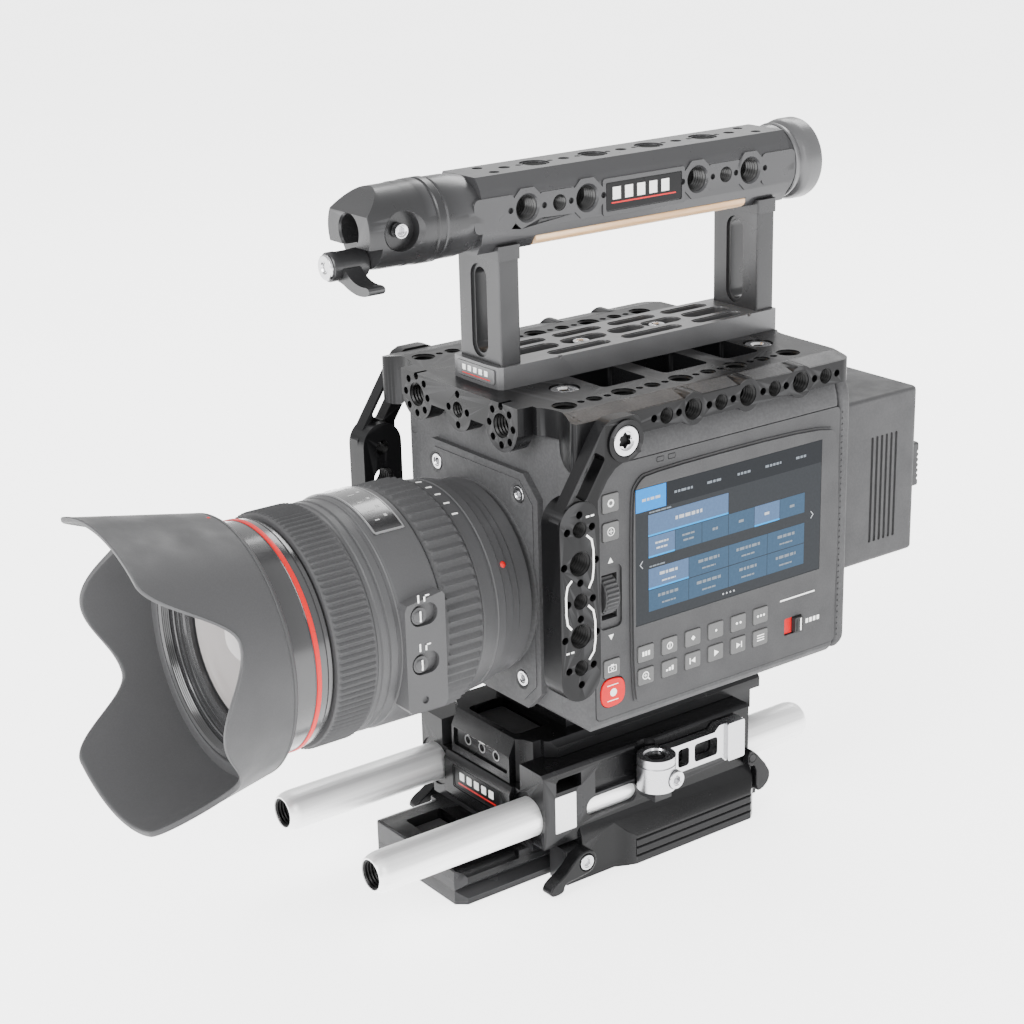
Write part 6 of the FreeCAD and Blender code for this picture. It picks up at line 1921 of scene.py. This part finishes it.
def make_battery():
    """The battery pack with its grooves, label, charge lights and latch."""
    w, front, rear, low, high = 45.0, 90.3, 136.0, 93.0, 160.0
    seam_y, cells = (97.2, 97.7), range(8)
    block = prism("battery_pack", "xy", rounded(-w, w, front, rear, 2.8, 5), low, high)
    bevelled(block, 1.6, 4, 40)
    tools = []
    for side in SIDES:
        deep = reach(side, w - 0.9, w + 2)
        tools += [prism("groove", "yz", rounded(110.5 + 2.6 * i, 111.8 + 2.6 * i, 101, 144, 0.6, 3), *deep)
                  for i in range(6)]
        tools.append(box("seam", reach(side, w - 0.35, w + 2), seam_y, (low - 2, high + 2)))
    tools.append(box("seam", (-w - 1, w + 1), seam_y, (high - 0.35, high + 1)))
    tools.append(box("latch", (34.9, 43.5), (rear - 4.4, rear + 1), (117.7, 136.3)))
    tools.append(prism("label", "xz", rounded(-30, 22, 110, 146, 2.0), rear - 0.35, rear + 1))
    wells = [rounded(-30 + 6.6 * i, -25.6 + 6.6 * i, 100, 104, 0.8) for i in cells]
    tools += [prism("cell", "xz", well, rear - 0.5, rear + 1) for well in wells]
    boolean(block, tools)
    place(bevelled(block, 0.22, 2, 33), "battery", "battery")
    label = prism("battery_label", "xz", rounded(-29.6, 21.6, 110.4, 145.6, 1.8), rear - 0.4, rear - 0.1)
    attach(bevelled(label, 0.08), "battery", "label")
    lights = [rounded(-29.7 + 6.6 * i, -25.9 + 6.6 * i, 100.3, 103.7, 0.6) for i in cells]
    lights = [prism("cell", "xz", light, rear - 0.5, rear - 0.2) for light in lights]
    attach(merged(lights, "battery_lights"), "battery", "rim_grey")
    latch = prism("battery_release", "xz", rounded(35.2, 43.2, 118, 136, 1.0, 3), rear - 2.4, rear + 3.2)
    boolean(latch, [box("rib", (34, 44), (rear + 2.6, rear + 4), (120.6 + 2.2 * i, 121.5 + 2.2 * i))
                    for i in range(6)])
    place(bevelled(latch, 0.35, 2, 33), "battery_latch", "battery")


make_battery()


# ---- every CAD node gets softened edges and its own finish unless a detailed piece stands for it ----

for node in sorted(NODES):
    if node in replaced:
        continue
    piece = bevelled(copy_of(node, node + "_look"), 0.3)
    place(piece, node, FINISH[SLOT_OF[node]])


# ---- camera, floor and light ----

def add_camera():
    """The camera, from the screen side, a little above the rig."""
    azimuth, elevation, roll = math.radians(53.97), math.radians(19.30), math.radians(-1.51)
    back = Vector((math.sin(azimuth) * math.cos(elevation), -math.cos(azimuth) * math.cos(elevation),
                   math.sin(elevation)))
    right = (-back).cross(Vector((0, 0, 1))).normalized()
    up = right.cross(-back)
    turned_right = math.cos(roll) * right + math.sin(roll) * up
    turned_up = -math.sin(roll) * right + math.cos(roll) * up
    matrix = Matrix((turned_right, turned_up, back)).transposed().to_4x4()
    matrix.translation = Vector((585.4, -454.0, 387.0)) * MM
    data = bpy.data.cameras.new("camera")
    data.sensor_width, data.lens = 36.0, 73.84921875
    data.clip_start, data.clip_end = 0.02, 100
    camera = bpy.data.objects.new("camera", data)
    bpy.context.scene.collection.objects.link(camera)
    camera.matrix_world = matrix
    bpy.context.scene.camera = camera


def add_light(name, place_m, size, power):
    """A soft rectangular light aimed at the middle of the rig."""
    target = (0, -0.02, 0.13)
    data = bpy.data.lights.new(name, "AREA")
    data.shape = "RECTANGLE"
    data.size, data.size_y = size
    data.energy = power
    light = bpy.data.objects.new(name, data)
    bpy.context.scene.collection.objects.link(light)
    light.location = place_m
    light.rotation_mode = "QUATERNION"
    light.rotation_quaternion = (Vector(target) - Vector(place_m)).to_track_quat("-Z", "Y")


def add_stage():
    """A pale floor, an even sky and three soft lights."""
    half, level = 30000.0, -0.05
    corners = [(u * half, v * half, level) for u, v in ((-1, -1), (1, -1), (1, 1), (-1, 1))]
    floor = from_data("floor", corners, [[0, 1, 2, 3]])
    m = Nodes("floor_white")
    colour = m.ramp(m.noise(3, 2), [(0.3, (0.93, 0.93, 0.93)), (0.7, (0.95, 0.95, 0.95))])
    m.link(colour, m.shader.inputs["Base Color"])
    m.link(colour, m.shader.inputs["Emission Color"])
    m.shader.inputs["Emission Strength"].default_value = 3.0
    m.set(Roughness=0.9)
    floor.data.materials.append(m.material)
    world = bpy.data.worlds.new("studio")
    world.use_nodes = True
    world.node_tree.nodes["Background"].inputs["Color"].default_value = (1, 1, 1, 1)
    world.node_tree.nodes["Background"].inputs["Strength"].default_value = 1.35
    bpy.context.scene.world = world
    add_light("key", (0.25, -1.5, 0.9), (0.9, 0.9), 36)
    add_light("side", (1.4, -0.2, 0.7), (0.5, 1.2), 7)
    add_light("back", (-0.6, 0.9, 1.1), (0.8, 0.6), 12)


add_camera()
add_stage()
